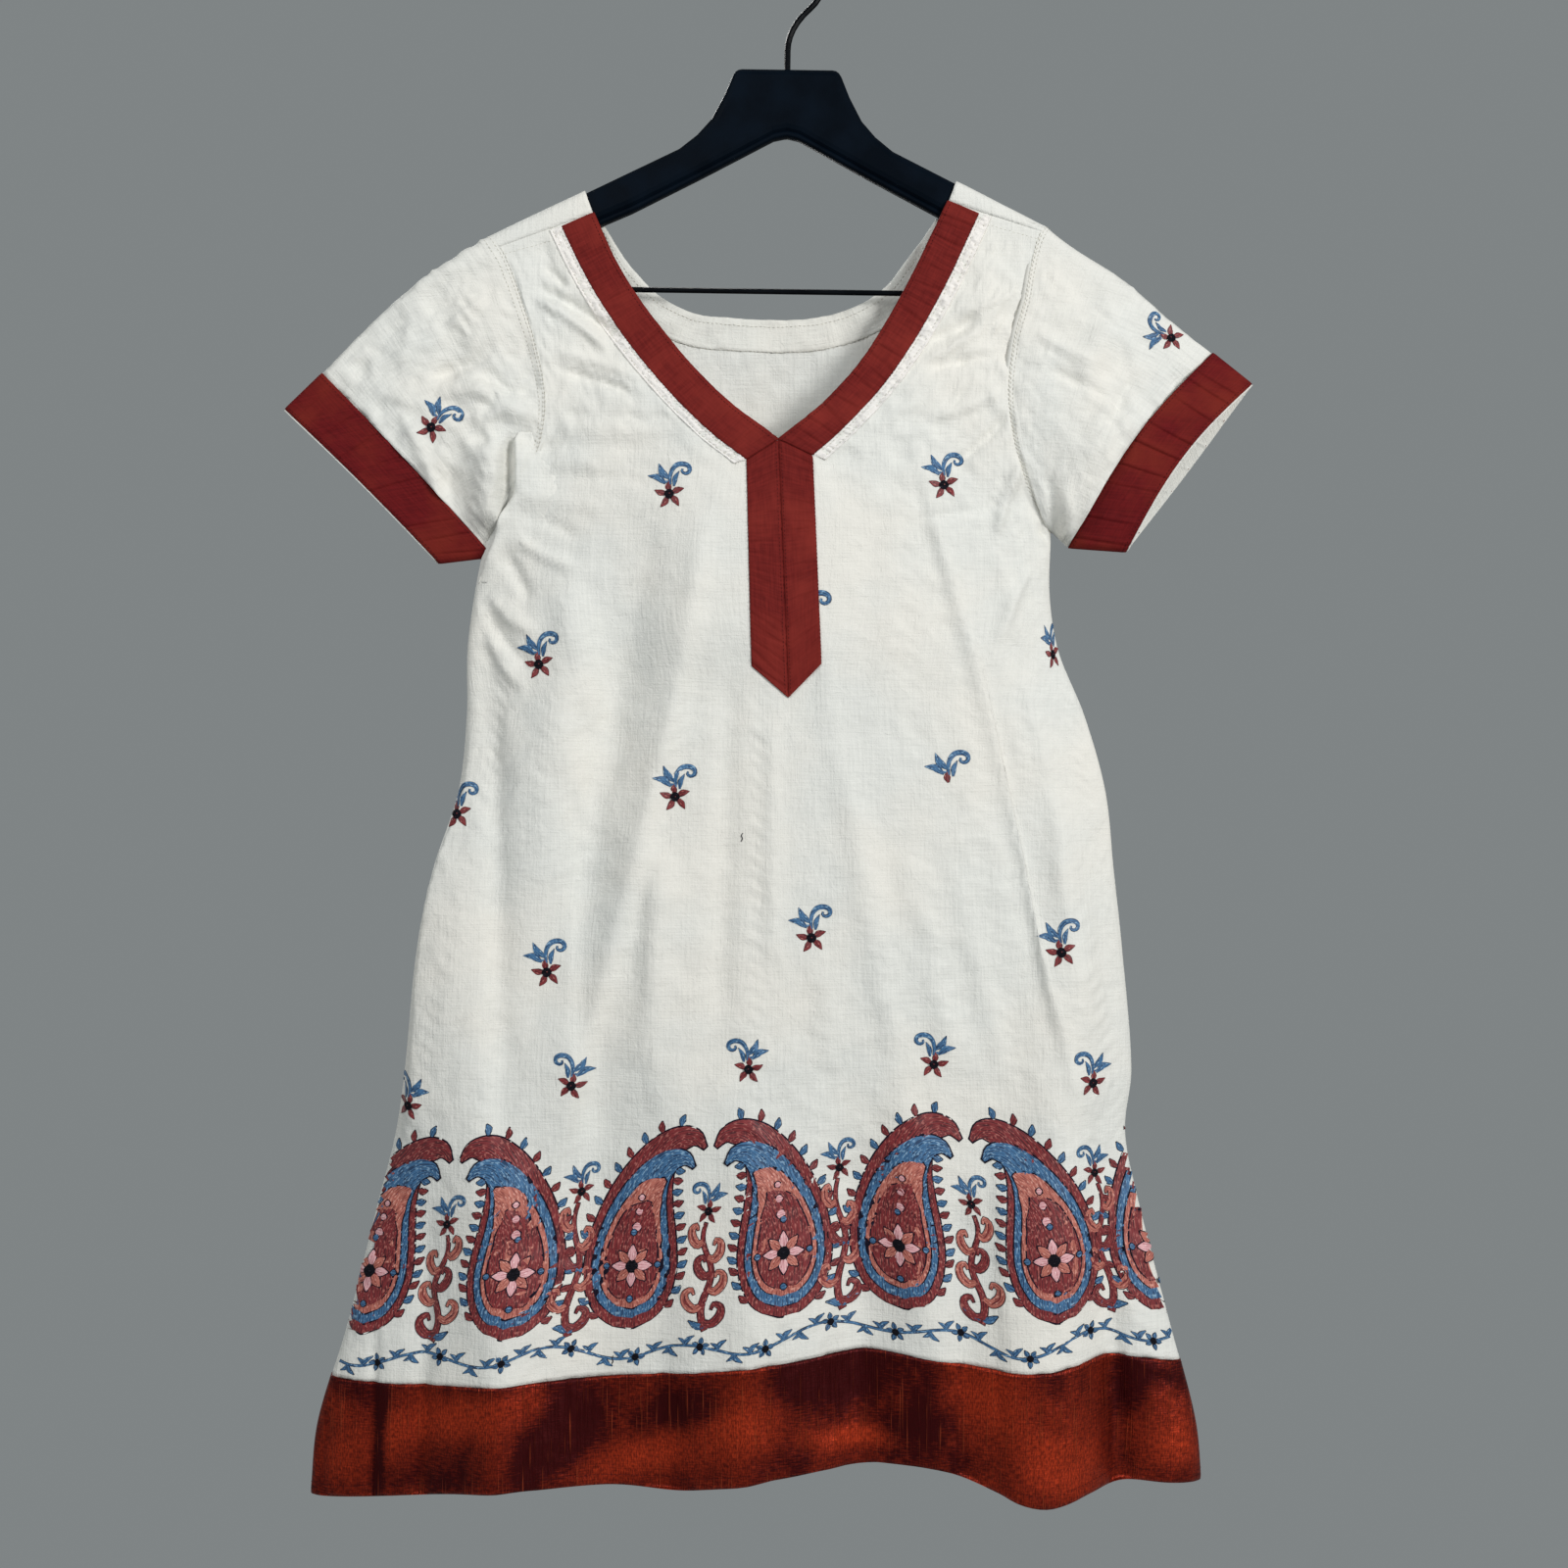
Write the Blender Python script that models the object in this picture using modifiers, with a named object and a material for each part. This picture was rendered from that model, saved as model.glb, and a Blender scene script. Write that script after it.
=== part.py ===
"""Short-sleeved cotton tunic dress hanging on a plain hanger.

Metres, +Z up. The front faces -Y, and left and right are the viewer's. The origin is the inside top
of the hook, where a rail carries it. All sizes and tables below are in millimetres, and MM turns them
into metres.
"""
import math
from collections import namedtuple

import bmesh
import bpy
from mathutils import Matrix, Vector

MM = 0.001

# Cloth
WALL = 1.2              # body, sleeves, cuffs and hem
TRIM_WALL = 1.0         # bands and facing that lie on a panel
SEAM = 0.3              # clear gap between neighbouring pieces
CLOTH_SHIFT = -3.5      # the garment hangs a little left of the hook
LOOSEN = 50.0           # below the shoulder ridge, the cloth leaves the hanger over this drop
SIDE_FADE = 0.12        # share of a half panel, next to the side seam, over which folds die out
ROUND_EDGE = 0.5        # power of a panel's curve out from a side seam that it meets squarely
FLAT_EDGE = 1.0         # the same along the armhole, where it lies flat
FOLD_GROWTH = 0.6       # share of a fold's length over which it grows
FOLD_TAPER = 0.7        # power of the curve along a fold that dies out at both ends
ARMPIT_ROUND = 0.12     # share of the armhole, above the armpit, where the round side edge turns flat

# Hanger
HANGER_TILT = 0.8       # degrees, right end down
ARM_SLOPE = 26.35       # degrees
ARM_HALF_DEPTH = 6.0
ARM_EDGE_ROUND = 5.6
ARM_EDGE_STEPS = 2
ARM_GAP = 0.5           # between the arm's top and the cloth over it
HANGER_REACH = 201.0    # from the middle to an arm's end
HANGER_TOP = -85.0
CORNER_STEPS = 3
BAR_DROP = -243.0
BAR_REACH = 165.0
BAR_RADIUS = 2.0
BAR_BEND = 14.0
BAR_BEND_STEPS = 4
WIRE_RADIUS = 2.25
HOOK_INSIDE = 22.0      # radius inside the hook's bend
HOOK_START_ANGLE = -48.0  # degrees round from the viewer's right
HOOK_END_ANGLE = 200.0
HOOK_STRAIGHT = 6.0     # straight wire above the hanger's head
HOOK_NECK = 14.0        # height above the head where the wire starts to bend
HOOK_NECK_PULL = 10.0   # how softly it leaves the straight
HOOK_BEND_PULL = 16.0   # how softly it joins the round bend
HOOK_NECK_STEPS = 6
HOOK_STEPS = 24
SOCKET_DEPTH = 12.0
BAR_SOCKET_DEPTH = 5.0
SOCKET_CLEARANCE = 0.3
SOCKET_FACETS = 16
MERGE = 0.05            # points closer than this are one

# Shoulder ridge: the inside of the cloth where it turns over the arms
RIDGE_APEX_X = 2.0
RIDGE_APEX_Z = -103.3
RIDGE_RADIUS = 6.8
RIDGE_DROP = RIDGE_RADIUS / math.cos(math.radians(ARM_SLOPE))
ARMPIT_DROP = 217.0     # below the ridge, measured straight down at the armpit

# Columns and rows of the panels' grids
SIDE_COLUMNS = 15       # from the side seam to the band line
BAND_COLUMNS = 2        # across the neck band and half the placket
SKIRT_ROWS = 11
PLACKET_ROWS = 5
NECK_ROWS = 11
BACK_SKIRT_ROWS = 15
BACK_YOKE_ROWS = 6
BACK_NECK_ROWS = 6
RIDGE_ROWS = 5
HEM_ROWS = 3
SLEEVE_RINGS = 6
CUFF_RINGS = 2
FACING_COLUMNS = 14
FACING_ROWS = 2

# Hanger's head, right half, with the radius of each round corner
HeadCorner = namedtuple("HeadCorner", "x z radius")
HEAD_CORNERS = (
    HeadCorner(0.0, HANGER_TOP, 0.0),
    HeadCorner(37.0, HANGER_TOP, 7.0),
    HeadCorner(44.8, -104.0, 0.0),
    HeadCorner(53.8, -121.0, 0.0),
    HeadCorner(64.0, -132.5, 0.0),
)
ARM_ROOT_X = 76.5
# End of an arm, by distance in from its reach and below its straight top edge
ArmEnd = namedtuple("ArmEnd", "inward below")
ARM_END = (
    ArmEnd(24.0, 0.0),
    ArmEnd(11.0, 3.0),
    ArmEnd(1.0, 11.0),
    ArmEnd(4.0, 22.0),
)
# Underside of the right arm, from its end to the middle
Underside = namedtuple("Underside", "x z")
UNDERSIDE = (
    Underside(180.0, -218.0),
    Underside(135.0, -197.0),
    Underside(110.0, -186.0),
    Underside(60.0, -160.0),
    Underside(9.0, -132.5),
    Underside(0.0, -130.5),
)

# Front opening
PLACKET_TIP = (3.0, -534.4)
PLACKET_CORNER = {"left": (-22.6, -512.4), "right": (26.0, -511.0)}
PLACKET_FOOT_SIDE_Z = -545.0
PLACKET_HALF = 25.0
CENTRE_AT_HEM = 0.0

# Shoulder seam in front of the ridge: its drop at the armhole and at the neck
SEAM_DROP_OUTER = {"left": 12.5, "right": 6.4}
# Neck side of each shoulder strap: behind the arm, on top of it and in front
STRAP_INNER_X = {"left": (-140.0, -143.0, -135.5), "right": (120.0, 124.0, 116.8)}

# Back neckline
BACK_ARMPIT_CENTRE_Z = -405.0
BACK_NECK_BOTTOM_Z = -260.4
FACING_WIDTH = 22.0
FACING_EDGE = 1.0       # from the neckline to the facing's upper edge
FACING_REACH = 0.66     # share of the way to the shoulder that it covers
FACING_CLEARANCE = 0.45
DIRECTION_STEP = 0.02   # share of a table between the two points that give a direction

BodyLine = namedtuple("BodyLine", "z left right")
# Outline of the body from the armpits to the hem, outside of the cloth
BODY_LINES = (
    BodyLine(-421, -213.5, 190.4),
    BodyLine(-460, -221.0, 189.7),
    BodyLine(-500, -226.0, 196.0),
    BodyLine(-546, -226.5, 214.5),
    BodyLine(-600, -232.5, 229.5),
    BodyLine(-657, -251.0, 235.5),
    BodyLine(-714, -262.5, 241.5),
    BodyLine(-800, -271.0, 248.0),
    BodyLine(-845, -277.5, 243.5),
    BodyLine(-892, -289.5, 252.0),
    BodyLine(-985, -313.0, 276.0),
    BodyLine(-1050, -332.5, 293.5),
    BodyLine(-1100, -337.5, 298.0),
)

DepthLine = namedtuple("DepthLine", "z front back")
# How far the middle of each panel stands from the hanger's plane
DEPTH_LINES = (
    DepthLine(-170, 7, 7),
    DepthLine(-230, 10, 12),
    DepthLine(-300, 15, 18),
    DepthLine(-355, 19, 21),
    DepthLine(-420, 23, 24),
    DepthLine(-534, 26, 26),
    DepthLine(-700, 30, 28),
    DepthLine(-900, 33, 31),
    DepthLine(-1100, 35, 33),
)

ArmholeLine = namedtuple("ArmholeLine", "drop left right depth")
# The armhole seam, by drop below the shoulder ridge, and its distance from the hanger's plane
ARMHOLE = (
    ArmholeLine(0, -210.0, 187.0, 6.8),
    ArmholeLine(8, -204.5, 182.0, 6.8),
    ArmholeLine(20, -198.5, 178.5, 7.2),
    ArmholeLine(40, -191.5, 174.3, 8.6),
    ArmholeLine(62, -185.0, 170.8, 10.4),
    ArmholeLine(91, -177.0, 163.5, 12.2),
    ArmholeLine(131, -169.5, 158.8, 13.6),
    ArmholeLine(156, -170.3, 161.0, 13.4),
    ArmholeLine(174, -176.0, 165.5, 12.6),
    ArmholeLine(199, -194.0, 176.0, 9.6),
    ArmholeLine(ARMPIT_DROP, -212.3, 189.2, 0.0),
)

NeckLine = namedtuple("NeckLine", (
    "left_in_x", "left_in_z", "left_out_x", "left_out_z",
    "right_in_x", "right_in_z", "right_out_x", "right_out_z"))
# Both edges of the neck band, from the shoulder seam down to the mitre at the point of the V
NECK_LINES = (
    NeckLine(-135.5, -189.4, -157.8, -199.1, 116.8, -181.0, 138.3, -190.0),
    NeckLine(-121.0, -222.0, -141.5, -233.2, 105.0, -206.0, 126.0, -217.0),
    NeckLine(-104.6, -249.5, -124.7, -261.5, 91.0, -235.0, 112.0, -246.0),
    NeckLine(-85.0, -276.0, -103.6, -291.5, 73.0, -268.0, 93.0, -280.0),
    NeckLine(-61.0, -305.0, -78.5, -322.0, 53.0, -299.0, 71.0, -312.5),
    NeckLine(-36.0, -330.0, -53.0, -348.0, 27.0, -328.5, 45.0, -342.0),
    NeckLine(-4.0, -354.2, -26.1, -368.9, -4.0, -354.2, 20.0, -365.2),
)

BackNeckLine = namedtuple("BackNeckLine", "left_x left_z right_x right_z")
# The back neckline, from its middle out to the shoulders
BACK_NECK = (
    BackNeckLine(-4.0, BACK_NECK_BOTTOM_Z, -4.0, BACK_NECK_BOTTOM_Z),
    BackNeckLine(-37.0, -259.0, 25.0, -258.5),
    BackNeckLine(-66.0, -255.5, 52.0, -251.0),
    BackNeckLine(-92.0, -242.0, 74.0, -237.0),
    BackNeckLine(-113.0, -220.0, 92.0, -214.5),
    BackNeckLine(-129.5, -195.0, 108.0, -193.0),
    BackNeckLine(-140.0, -178.8, 120.0, -171.4),
)

HemLine = namedtuple("HemLine", "x front_seam front_hem back_seam back_hem")
# Height of the seam above the hem band, and of the hem, all the way across
HEM_LINES = (
    HemLine(-337, -1016, -1100, -1016, -1100),
    HemLine(-266, -1016, -1093, -1013, -1094),
    HemLine(-196, -1011, -1090, -1008, -1090),
    HemLine(-130, -1010, -1089, -1008, -1090),
    HemLine(-70, -1005, -1086, -1010, -1091),
    HemLine(0, -996, -1075, -1006, -1087),
    HemLine(60, -992, -1071, -1000, -1081),
    HemLine(115, -998, -1074, -1002, -1083),
    HemLine(155, -1002, -1088, -1006, -1087),
    HemLine(182, -1001, -1094, -1007, -1088),
    HemLine(215, -997, -1088, -1003, -1085),
    HemLine(250, -999, -1086, -1001, -1084),
    HemLine(298, -1008, -1090, -1008, -1090),
)

Fold = namedtuple("Fold", "top_x top_z low_x low_z top_half low_half swell to_hem")
# Folds by the line each follows, its half width at both ends and how far it swells out (or in, below zero)
FRONT_FOLDS = (
    Fold(-95, -400, -165, -790, 26, 26, -13, False),
    Fold(-150, -640, -112, -1100, 20, 40, -11, True),
    Fold(-228, -560, -200, -1100, 18, 40, 13, True),
    Fold(-205, -440, -240, -650, 12, 14, -6, False),
    Fold(-160, -430, -128, -640, 14, 18, 5, False),
    Fold(-40, -640, -10, -1100, 30, 42, 5, True),
    Fold(50, -760, 62, -1100, 30, 38, -15, True),
    Fold(118, -420, 200, -800, 15, 15, -9, False),
    Fold(205, -560, 182, -1100, 20, 36, 16, True),
    Fold(210, -860, 240, -1100, 12, 20, -10, True),
)
BACK_FOLDS = (
    Fold(-70, -430, -125, -1100, 28, 46, -12, True),
    Fold(-185, -560, -215, -1100, 22, 42, 12, True),
    Fold(-20, -560, -30, -1100, 26, 48, 12, True),
    Fold(75, -420, 95, -1100, 26, 46, -13, True),
    Fold(150, -520, 190, -1100, 22, 40, 12, True),
    Fold(0, -290, 0, -520, 30, 40, 5, False),
)

SleeveLine = namedtuple("SleeveLine", "left_x left_z right_x right_z")
# The folded top edge of each sleeve, from the shoulder to the cuff band's seam, outside of the cloth
SLEEVE_TOP = (
    SleeveLine(-210.0, -202.8, 187.0, -197.2),
    SleeveLine(-244.3, -224.3, 205.0, -211.0),
    SleeveLine(-268.0, -241.5, 242.9, -235.5),
    SleeveLine(-300.0, -270.5, 275.0, -263.5),
    SleeveLine(-329.0, -300.6, 305.2, -286.6),
)
# Lower end of each sleeve at the cuff seam, and both corners of each cuff's open edge
CUFF_SEAM_LOW = {"left": (-221.0, -425.0), "right": (203.0, -424.5)}
CUFF_EDGE_TOP = {"left": (-355.6, -326.5), "right": (333.2, -309.0)}
CUFF_EDGE_LOW = {"left": (-247.0, -435.7), "right": (244.3, -427.5)}
CUFF_HALF_DEPTH = {"left": 8.0, "right": 12.0}
CUFF_BOW = {"left": (1.5, 1.5), "right": (9.0, -2.0)}  # how far the front and the back edge curve in
CUFF_BOW_WAY = (0.75, 0.6)  # inward and upward shares of that curve
CUFF_FLARE = 0.12
SLEEVE_PUFF = 3.0
SLEEVE_START = 1.3      # power of the curve by which a sleeve leaves the armhole's line
ARMPIT_EASE = (3.2, 1.8)  # how far the sleeve's lowest point stays out from and above the side seam's top
ARMPIT_CLEARANCE = 1.0
CUFF_FOLD_CLEARANCE = 0.7
ARMPIT_EASE_FROM = 0.62  # share of the armhole's depth where the sleeve starts to draw away

SIDES = {"left": -1.0, "right": 1.0}
Face = namedtuple("Face", "sign name folds")
FRONT = Face(-1.0, "front", FRONT_FOLDS)
BACK = Face(1.0, "back", BACK_FOLDS)
Row = namedtuple("Row", "outer band inner edge_depth roundness level")
Station = namedtuple("Station", "x y z length")

MATERIALS = {
    # name: colour, roughness, metallic
    "cream_cotton": ((0.72, 0.70, 0.62), 0.90, 0.0),
    "rust_cotton": ((0.19, 0.016, 0.014), 0.85, 0.0),
    "rust_dupioni": ((0.22, 0.030, 0.016), 0.45, 0.0),
    "black_plastic": ((0.008, 0.009, 0.011), 0.55, 0.0),
    "black_wire": ((0.02, 0.02, 0.022), 0.35, 0.9),
}


def mix(a, b, share):
    """Value or point between two others."""
    if isinstance(a, tuple):
        return tuple(mix(p, q, share) for p, q in zip(a, b))
    return a + (b - a) * share


def smoothstep(value):
    """Soft ramp from 0 to 1."""
    t = min(1.0, max(0.0, value))
    return t * t * (3.0 - 2.0 * t)


def smooth_value(keys, values, at):
    """Smooth curve through values given at rising keys, held level past its ends."""
    at = min(keys[-1], max(keys[0], at))
    i = 0
    while i < len(keys) - 2 and at > keys[i + 1]:
        i += 1

    def slope(k):
        low = max(0, k - 1)
        high = min(len(keys) - 1, k + 1)
        return (values[high] - values[low]) / (keys[high] - keys[low])

    width = keys[i + 1] - keys[i]
    t = (at - keys[i]) / width
    start = (2 * t ** 3 - 3 * t ** 2 + 1) * values[i] + (t ** 3 - 2 * t ** 2 + t) * width * slope(i)
    end = (3 * t ** 2 - 2 * t ** 3) * values[i + 1] + (t ** 3 - t ** 2) * width * slope(i + 1)
    return start + end


def read_table(rows, key, column, at):
    """One column of a table, read smoothly at a value of its key column."""
    ordered = sorted(rows, key=lambda row: getattr(row, key))
    keys = [getattr(row, key) for row in ordered]
    values = [getattr(row, column) for row in ordered]
    return smooth_value(keys, values, at)


def along_table(rows, column, share):
    """One column of a table, read at a share of the way from its first row to its last."""
    keys = list(range(len(rows)))
    return smooth_value(keys, [getattr(row, column) for row in rows], share * (len(rows) - 1))


def ridge_z(x):
    """Height of the shoulder ridge, inside of the cloth."""
    tilt = HANGER_TILT if x > RIDGE_APEX_X else -HANGER_TILT
    return RIDGE_APEX_Z - abs(x - RIDGE_APEX_X) * math.tan(math.radians(ARM_SLOPE + tilt))


def body_x(side, z):
    """Inside of the cloth at the side seam."""
    return read_table(BODY_LINES, "z", side, z) - SIDES[side] * WALL


def armhole_point(side, drop):
    """Place of the armhole seam in the front view."""
    x = read_table(ARMHOLE, "drop", side, drop)
    return (x, ridge_z(x) - drop)


def fold_swell(folds, x, z):
    """Sum of the folds at a place of the front view."""
    total = 0.0
    for fold in folds:
        down = (fold.top_z - z) / (fold.top_z - fold.low_z)
        if down <= 0.0 or (down >= 1.0 and not fold.to_hem):
            continue
        grown = smoothstep(down / FOLD_GROWTH) if fold.to_hem else math.sin(math.pi * down) ** FOLD_TAPER
        middle = mix(fold.top_x, fold.low_x, down)
        half = mix(fold.top_half, fold.low_half, min(1.0, down))
        total += fold.swell * grown * math.exp(-((x - middle) / half) ** 2)
    return total


def ridge_depth(drop):
    """Distance from the hanger's plane while the cloth still turns over the arm."""
    left = max(0.0, 1.0 - drop / RIDGE_DROP)
    return RIDGE_RADIUS * math.sqrt(1.0 - left * left)


def panel_depth(face, row, x, z, across):
    """Distance from the hanger's plane to the inside of a panel."""
    drop = max(0.0, ridge_z(x) - z)
    full = (1.0 - (1.0 - across) ** 2) ** row.roundness
    middle = read_table(DEPTH_LINES, "z", face.name, z)
    hang = mix(row.edge_depth, middle, full) - RIDGE_RADIUS
    folds = fold_swell(face.folds, x, z) * smoothstep(across / SIDE_FADE)
    loosened = smoothstep((drop - RIDGE_DROP) / LOOSEN)
    return max(SEAM / 2, ridge_depth(drop) + loosened * (hang + folds))


def row_points(face, row):
    """Points of one row of a half panel, from its outer edge to its inner edge."""
    wide = math.dist(row.outer, row.band)
    narrow = math.dist(row.band, row.inner)
    band_share = wide / (wide + narrow)
    turn = math.acos(1.0 - band_share)
    points = []
    for i in range(SIDE_COLUMNS + BAND_COLUMNS + 1):
        if i <= SIDE_COLUMNS:
            across = 1.0 - math.cos(turn * i / SIDE_COLUMNS)
            x, z = mix(row.outer, row.band, across / band_share)
        else:
            inward = (i - SIDE_COLUMNS) / BAND_COLUMNS
            across = mix(band_share, 1.0, inward)
            x, z = mix(row.band, row.inner, inward)
        if row.level:
            z += row.level(x)
        points.append((x, face.sign * panel_depth(face, row, x, z, across), z))
    return points


def hem_z(face, column, x):
    """Height of the hem band's seam or of the hem."""
    return read_table(HEM_LINES, "x", face.name + "_" + column, x)


def straight_z(outer, band, inner, x):
    """Height of a straight row, which bends only at its band line."""
    start, end = (outer, band) if abs(x) >= abs(band[0]) else (band, inner)
    return mix(start[1], end[1], (x - start[0]) / (end[0] - start[0]))


def level_warp(face, outer, band, inner, strength):
    """How a row near the hem leaves its straight line to follow the waved seam."""
    return lambda x: (hem_z(face, "seam", x) - straight_z(outer, band, inner, x)) * strength


def hem_corner(face, side, column):
    """Where a hem line meets the side seam."""
    end = HEM_LINES[0] if side == "left" else HEM_LINES[-1]
    z = getattr(end, face.name + "_" + column)
    return (body_x(side, z), z)


def armhole_roundness(share):
    """Power of a row's curve at a share of the way up the armhole."""
    return mix(ROUND_EDGE, FLAT_EDGE, smoothstep(share / ARMPIT_ROUND))


def front_skirt_row(side, share):
    """Row between the hem band's seam and the foot of the placket."""
    low_outer = hem_corner(FRONT, side, "seam")
    low_band_x = CENTRE_AT_HEM + SIDES[side] * PLACKET_HALF
    low_band = (low_band_x, hem_z(FRONT, "seam", low_band_x))
    low_inner = (CENTRE_AT_HEM, hem_z(FRONT, "seam", CENTRE_AT_HEM))
    outer_z = mix(low_outer[1], PLACKET_FOOT_SIDE_Z, share)
    warp = level_warp(FRONT, low_outer, low_band, low_inner, (1.0 - share) ** 2)
    band = mix(low_band, PLACKET_CORNER[side], share)
    inner = mix(low_inner, PLACKET_TIP, share)
    return Row((body_x(side, outer_z), outer_z), band, inner, 0.0, ROUND_EDGE, warp)


def front_placket_row(side, share):
    """Row between the foot of the placket and the armpit and the point of the V."""
    armpit = armhole_point(side, ARMPIT_DROP)
    outer_z = mix(PLACKET_FOOT_SIDE_Z, armpit[1], share)
    outer_x = body_x(side, outer_z) if share < 1.0 else armpit[0]
    last = NECK_LINES[-1]
    mitre = (getattr(last, side + "_out_x"), getattr(last, side + "_out_z"))
    point = (last.left_in_x, last.left_in_z)
    band = mix(PLACKET_CORNER[side], mitre, share)
    return Row((outer_x, outer_z), band, mix(PLACKET_TIP, point, share), 0.0, ROUND_EDGE, None)


def front_neck_row(side, share):
    """Row between the armhole and the neck edge, up to the shoulder seam."""
    drop = mix(ARMPIT_DROP, SEAM_DROP_OUTER[side] + SEAM, share)
    columns = ("in_x", "in_z", "out_x", "out_z")
    values = {column: along_table(NECK_LINES, side + "_" + column, 1.0 - share) for column in columns}
    gap = SEAM * share
    band = (values["out_x"], values["out_z"] - gap)
    inner = (values["in_x"], values["in_z"] - gap)
    edge = read_table(ARMHOLE, "drop", "depth", drop)
    return Row(armhole_point(side, drop), band, inner, edge, armhole_roundness(share), None)


def front_rows(side):
    """All rows of half the front panel, from the hem band's seam to the shoulder seam."""
    rows = [front_skirt_row(side, j / SKIRT_ROWS) for j in range(SKIRT_ROWS)]
    rows += [front_placket_row(side, j / PLACKET_ROWS) for j in range(PLACKET_ROWS)]
    rows += [front_neck_row(side, j / NECK_ROWS) for j in range(NECK_ROWS + 1)]
    return rows


def back_row(side, outer, inner, drop, roundness, level):
    """Row of half the back panel, whose middle columns are as wide as the front's."""
    band = mix(inner, outer, PLACKET_HALF / math.dist(inner, outer))
    edge = read_table(ARMHOLE, "drop", "depth", drop)
    return Row(outer, band, inner, edge, roundness, level)


def back_rows(side):
    """Rows of half the back panel, from the hem band's seam to where it starts to turn over the arm."""
    rows = []
    low_outer = hem_corner(BACK, side, "seam")
    low_inner = (CENTRE_AT_HEM, hem_z(BACK, "seam", CENTRE_AT_HEM))
    armpit = armhole_point(side, ARMPIT_DROP)
    armpit_middle = (BACK_NECK[0].left_x, BACK_ARMPIT_CENTRE_Z)
    for j in range(BACK_SKIRT_ROWS):
        share = j / BACK_SKIRT_ROWS
        z = mix(low_outer[1], armpit[1], share)
        inner = mix(low_inner, armpit_middle, share)
        low_band = mix(low_inner, low_outer, PLACKET_HALF / math.dist(low_inner, low_outer))
        warp = level_warp(BACK, low_outer, low_band, low_inner, (1.0 - share) ** 2)
        rows.append(back_row(side, (body_x(side, z), z), inner, ARMPIT_DROP, ROUND_EDGE, warp))
    upper = BACK_YOKE_ROWS + BACK_NECK_ROWS
    for j in range(upper):
        drop = mix(ARMPIT_DROP, RIDGE_DROP, j / upper)
        if j < BACK_YOKE_ROWS:
            inner_z = mix(BACK_ARMPIT_CENTRE_Z, BACK_NECK_BOTTOM_Z, j / BACK_YOKE_ROWS)
            inner = (BACK_NECK[0].left_x, inner_z)
        else:
            share = (j - BACK_YOKE_ROWS) / BACK_NECK_ROWS
            inner = tuple(along_table(BACK_NECK, side + c, share) for c in ("_x", "_z"))
        roundness = armhole_roundness(j / upper)
        rows.append(back_row(side, armhole_point(side, drop), inner, drop, roundness, None))
    return rows


def over_ridge(side, way, across):
    """Point of the back panel as it turns over the arm; across runs from the armhole to the neck."""
    behind, on_top, in_front = STRAP_INNER_X[side]
    inner_drop = ridge_z(in_front) - getattr(NECK_LINES[0], side + "_in_z")
    end_drop = mix(SEAM_DROP_OUTER[side], inner_drop, across)
    quarter = math.pi / 2 * RIDGE_RADIUS
    end = cloth_length(end_drop)
    length = mix(quarter, -end, way)
    outer_drop = RIDGE_DROP if length > 0 else SEAM_DROP_OUTER[side]
    turned = abs(length) / (quarter if length > 0 else end)
    outer_x = mix(armhole_point(side, 0.0)[0], armhole_point(side, outer_drop)[0], turned)
    inner_x = mix(on_top, behind if length > 0 else in_front, turned)
    x = mix(outer_x, inner_x, across)
    angle = min(math.pi / 2, abs(length) / RIDGE_RADIUS)
    drop = RIDGE_DROP * (1.0 - math.cos(angle)) + max(0.0, abs(length) - quarter)
    return (x, math.copysign(RIDGE_RADIUS * math.sin(angle), length), ridge_z(x) - drop)


def cloth_length(drop):
    """Length of cloth from the ridge down to a drop."""
    if drop >= RIDGE_DROP:
        return math.pi / 2 * RIDGE_RADIUS + drop - RIDGE_DROP
    return RIDGE_RADIUS * math.acos(1.0 - drop / RIDGE_DROP)


def ridge_rows(side):
    """Rows of points of half the back panel over the arm."""
    columns = SIDE_COLUMNS + BAND_COLUMNS
    rows = []
    for k in range(RIDGE_ROWS + 1):
        rows.append([over_ridge(side, k / RIDGE_ROWS, i / columns) for i in range(columns + 1)])
    return rows


def open_surface(name, faces_points, shared):
    """Mesh object of quads; points under the same key in shared are one vertex."""
    bm = bmesh.new()
    made = {}
    for quad in faces_points:
        corners = []
        for key, point in quad:
            key = shared.get(key, key)
            if key not in made:
                made[key] = bm.verts.new(Vector(point) * MM + Vector((CLOTH_SHIFT * MM, 0.0, 0.0)))
            corners.append(made[key])
        bm.faces.new(corners)
    mesh = bpy.data.meshes.new(name)
    bm.to_mesh(mesh)
    bm.free()
    mesh.shade_smooth()
    return bpy.data.objects.new(name, mesh)


def grid_quads(key, rows, flip, closed=False):
    """Quads between rows of points, with a key for each point."""
    quads = []
    for j in range(len(rows) - 1):
        count = len(rows[j])
        for i in range(count if closed else count - 1):
            k = (i + 1) % count
            quad = [((key, j, i), rows[j][i]), ((key, j, k), rows[j][k]),
                    ((key, j + 1, k), rows[j + 1][k]), ((key, j + 1, i), rows[j + 1][i])]
            quads.append(quad[::-1] if flip else quad)
    return quads


def cloth_piece(name, quads, shared, material, thickness=WALL, outward=1.0):
    """Named solid: an open surface given its wall."""
    piece = open_surface(name, quads, shared)
    shell = piece.modifiers.new("wall", "SOLIDIFY")
    shell.thickness = thickness * MM
    shell.offset = outward
    shell.use_even_offset = True
    shell.use_quality_normals = True
    finish(piece, material)
    return piece


def two_halves(face, left_rows, right_rows, joined_rows):
    """Quads of a left and a right half, sharing their middle line in the lowest rows."""
    left = grid_quads("left", left_rows, face.sign > 0)
    right = grid_quads("right", right_rows, face.sign < 0)
    last = len(left_rows[0]) - 1
    shared = {("right", j, last): ("left", j, last) for j in range(joined_rows)}
    return left + right, shared


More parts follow.
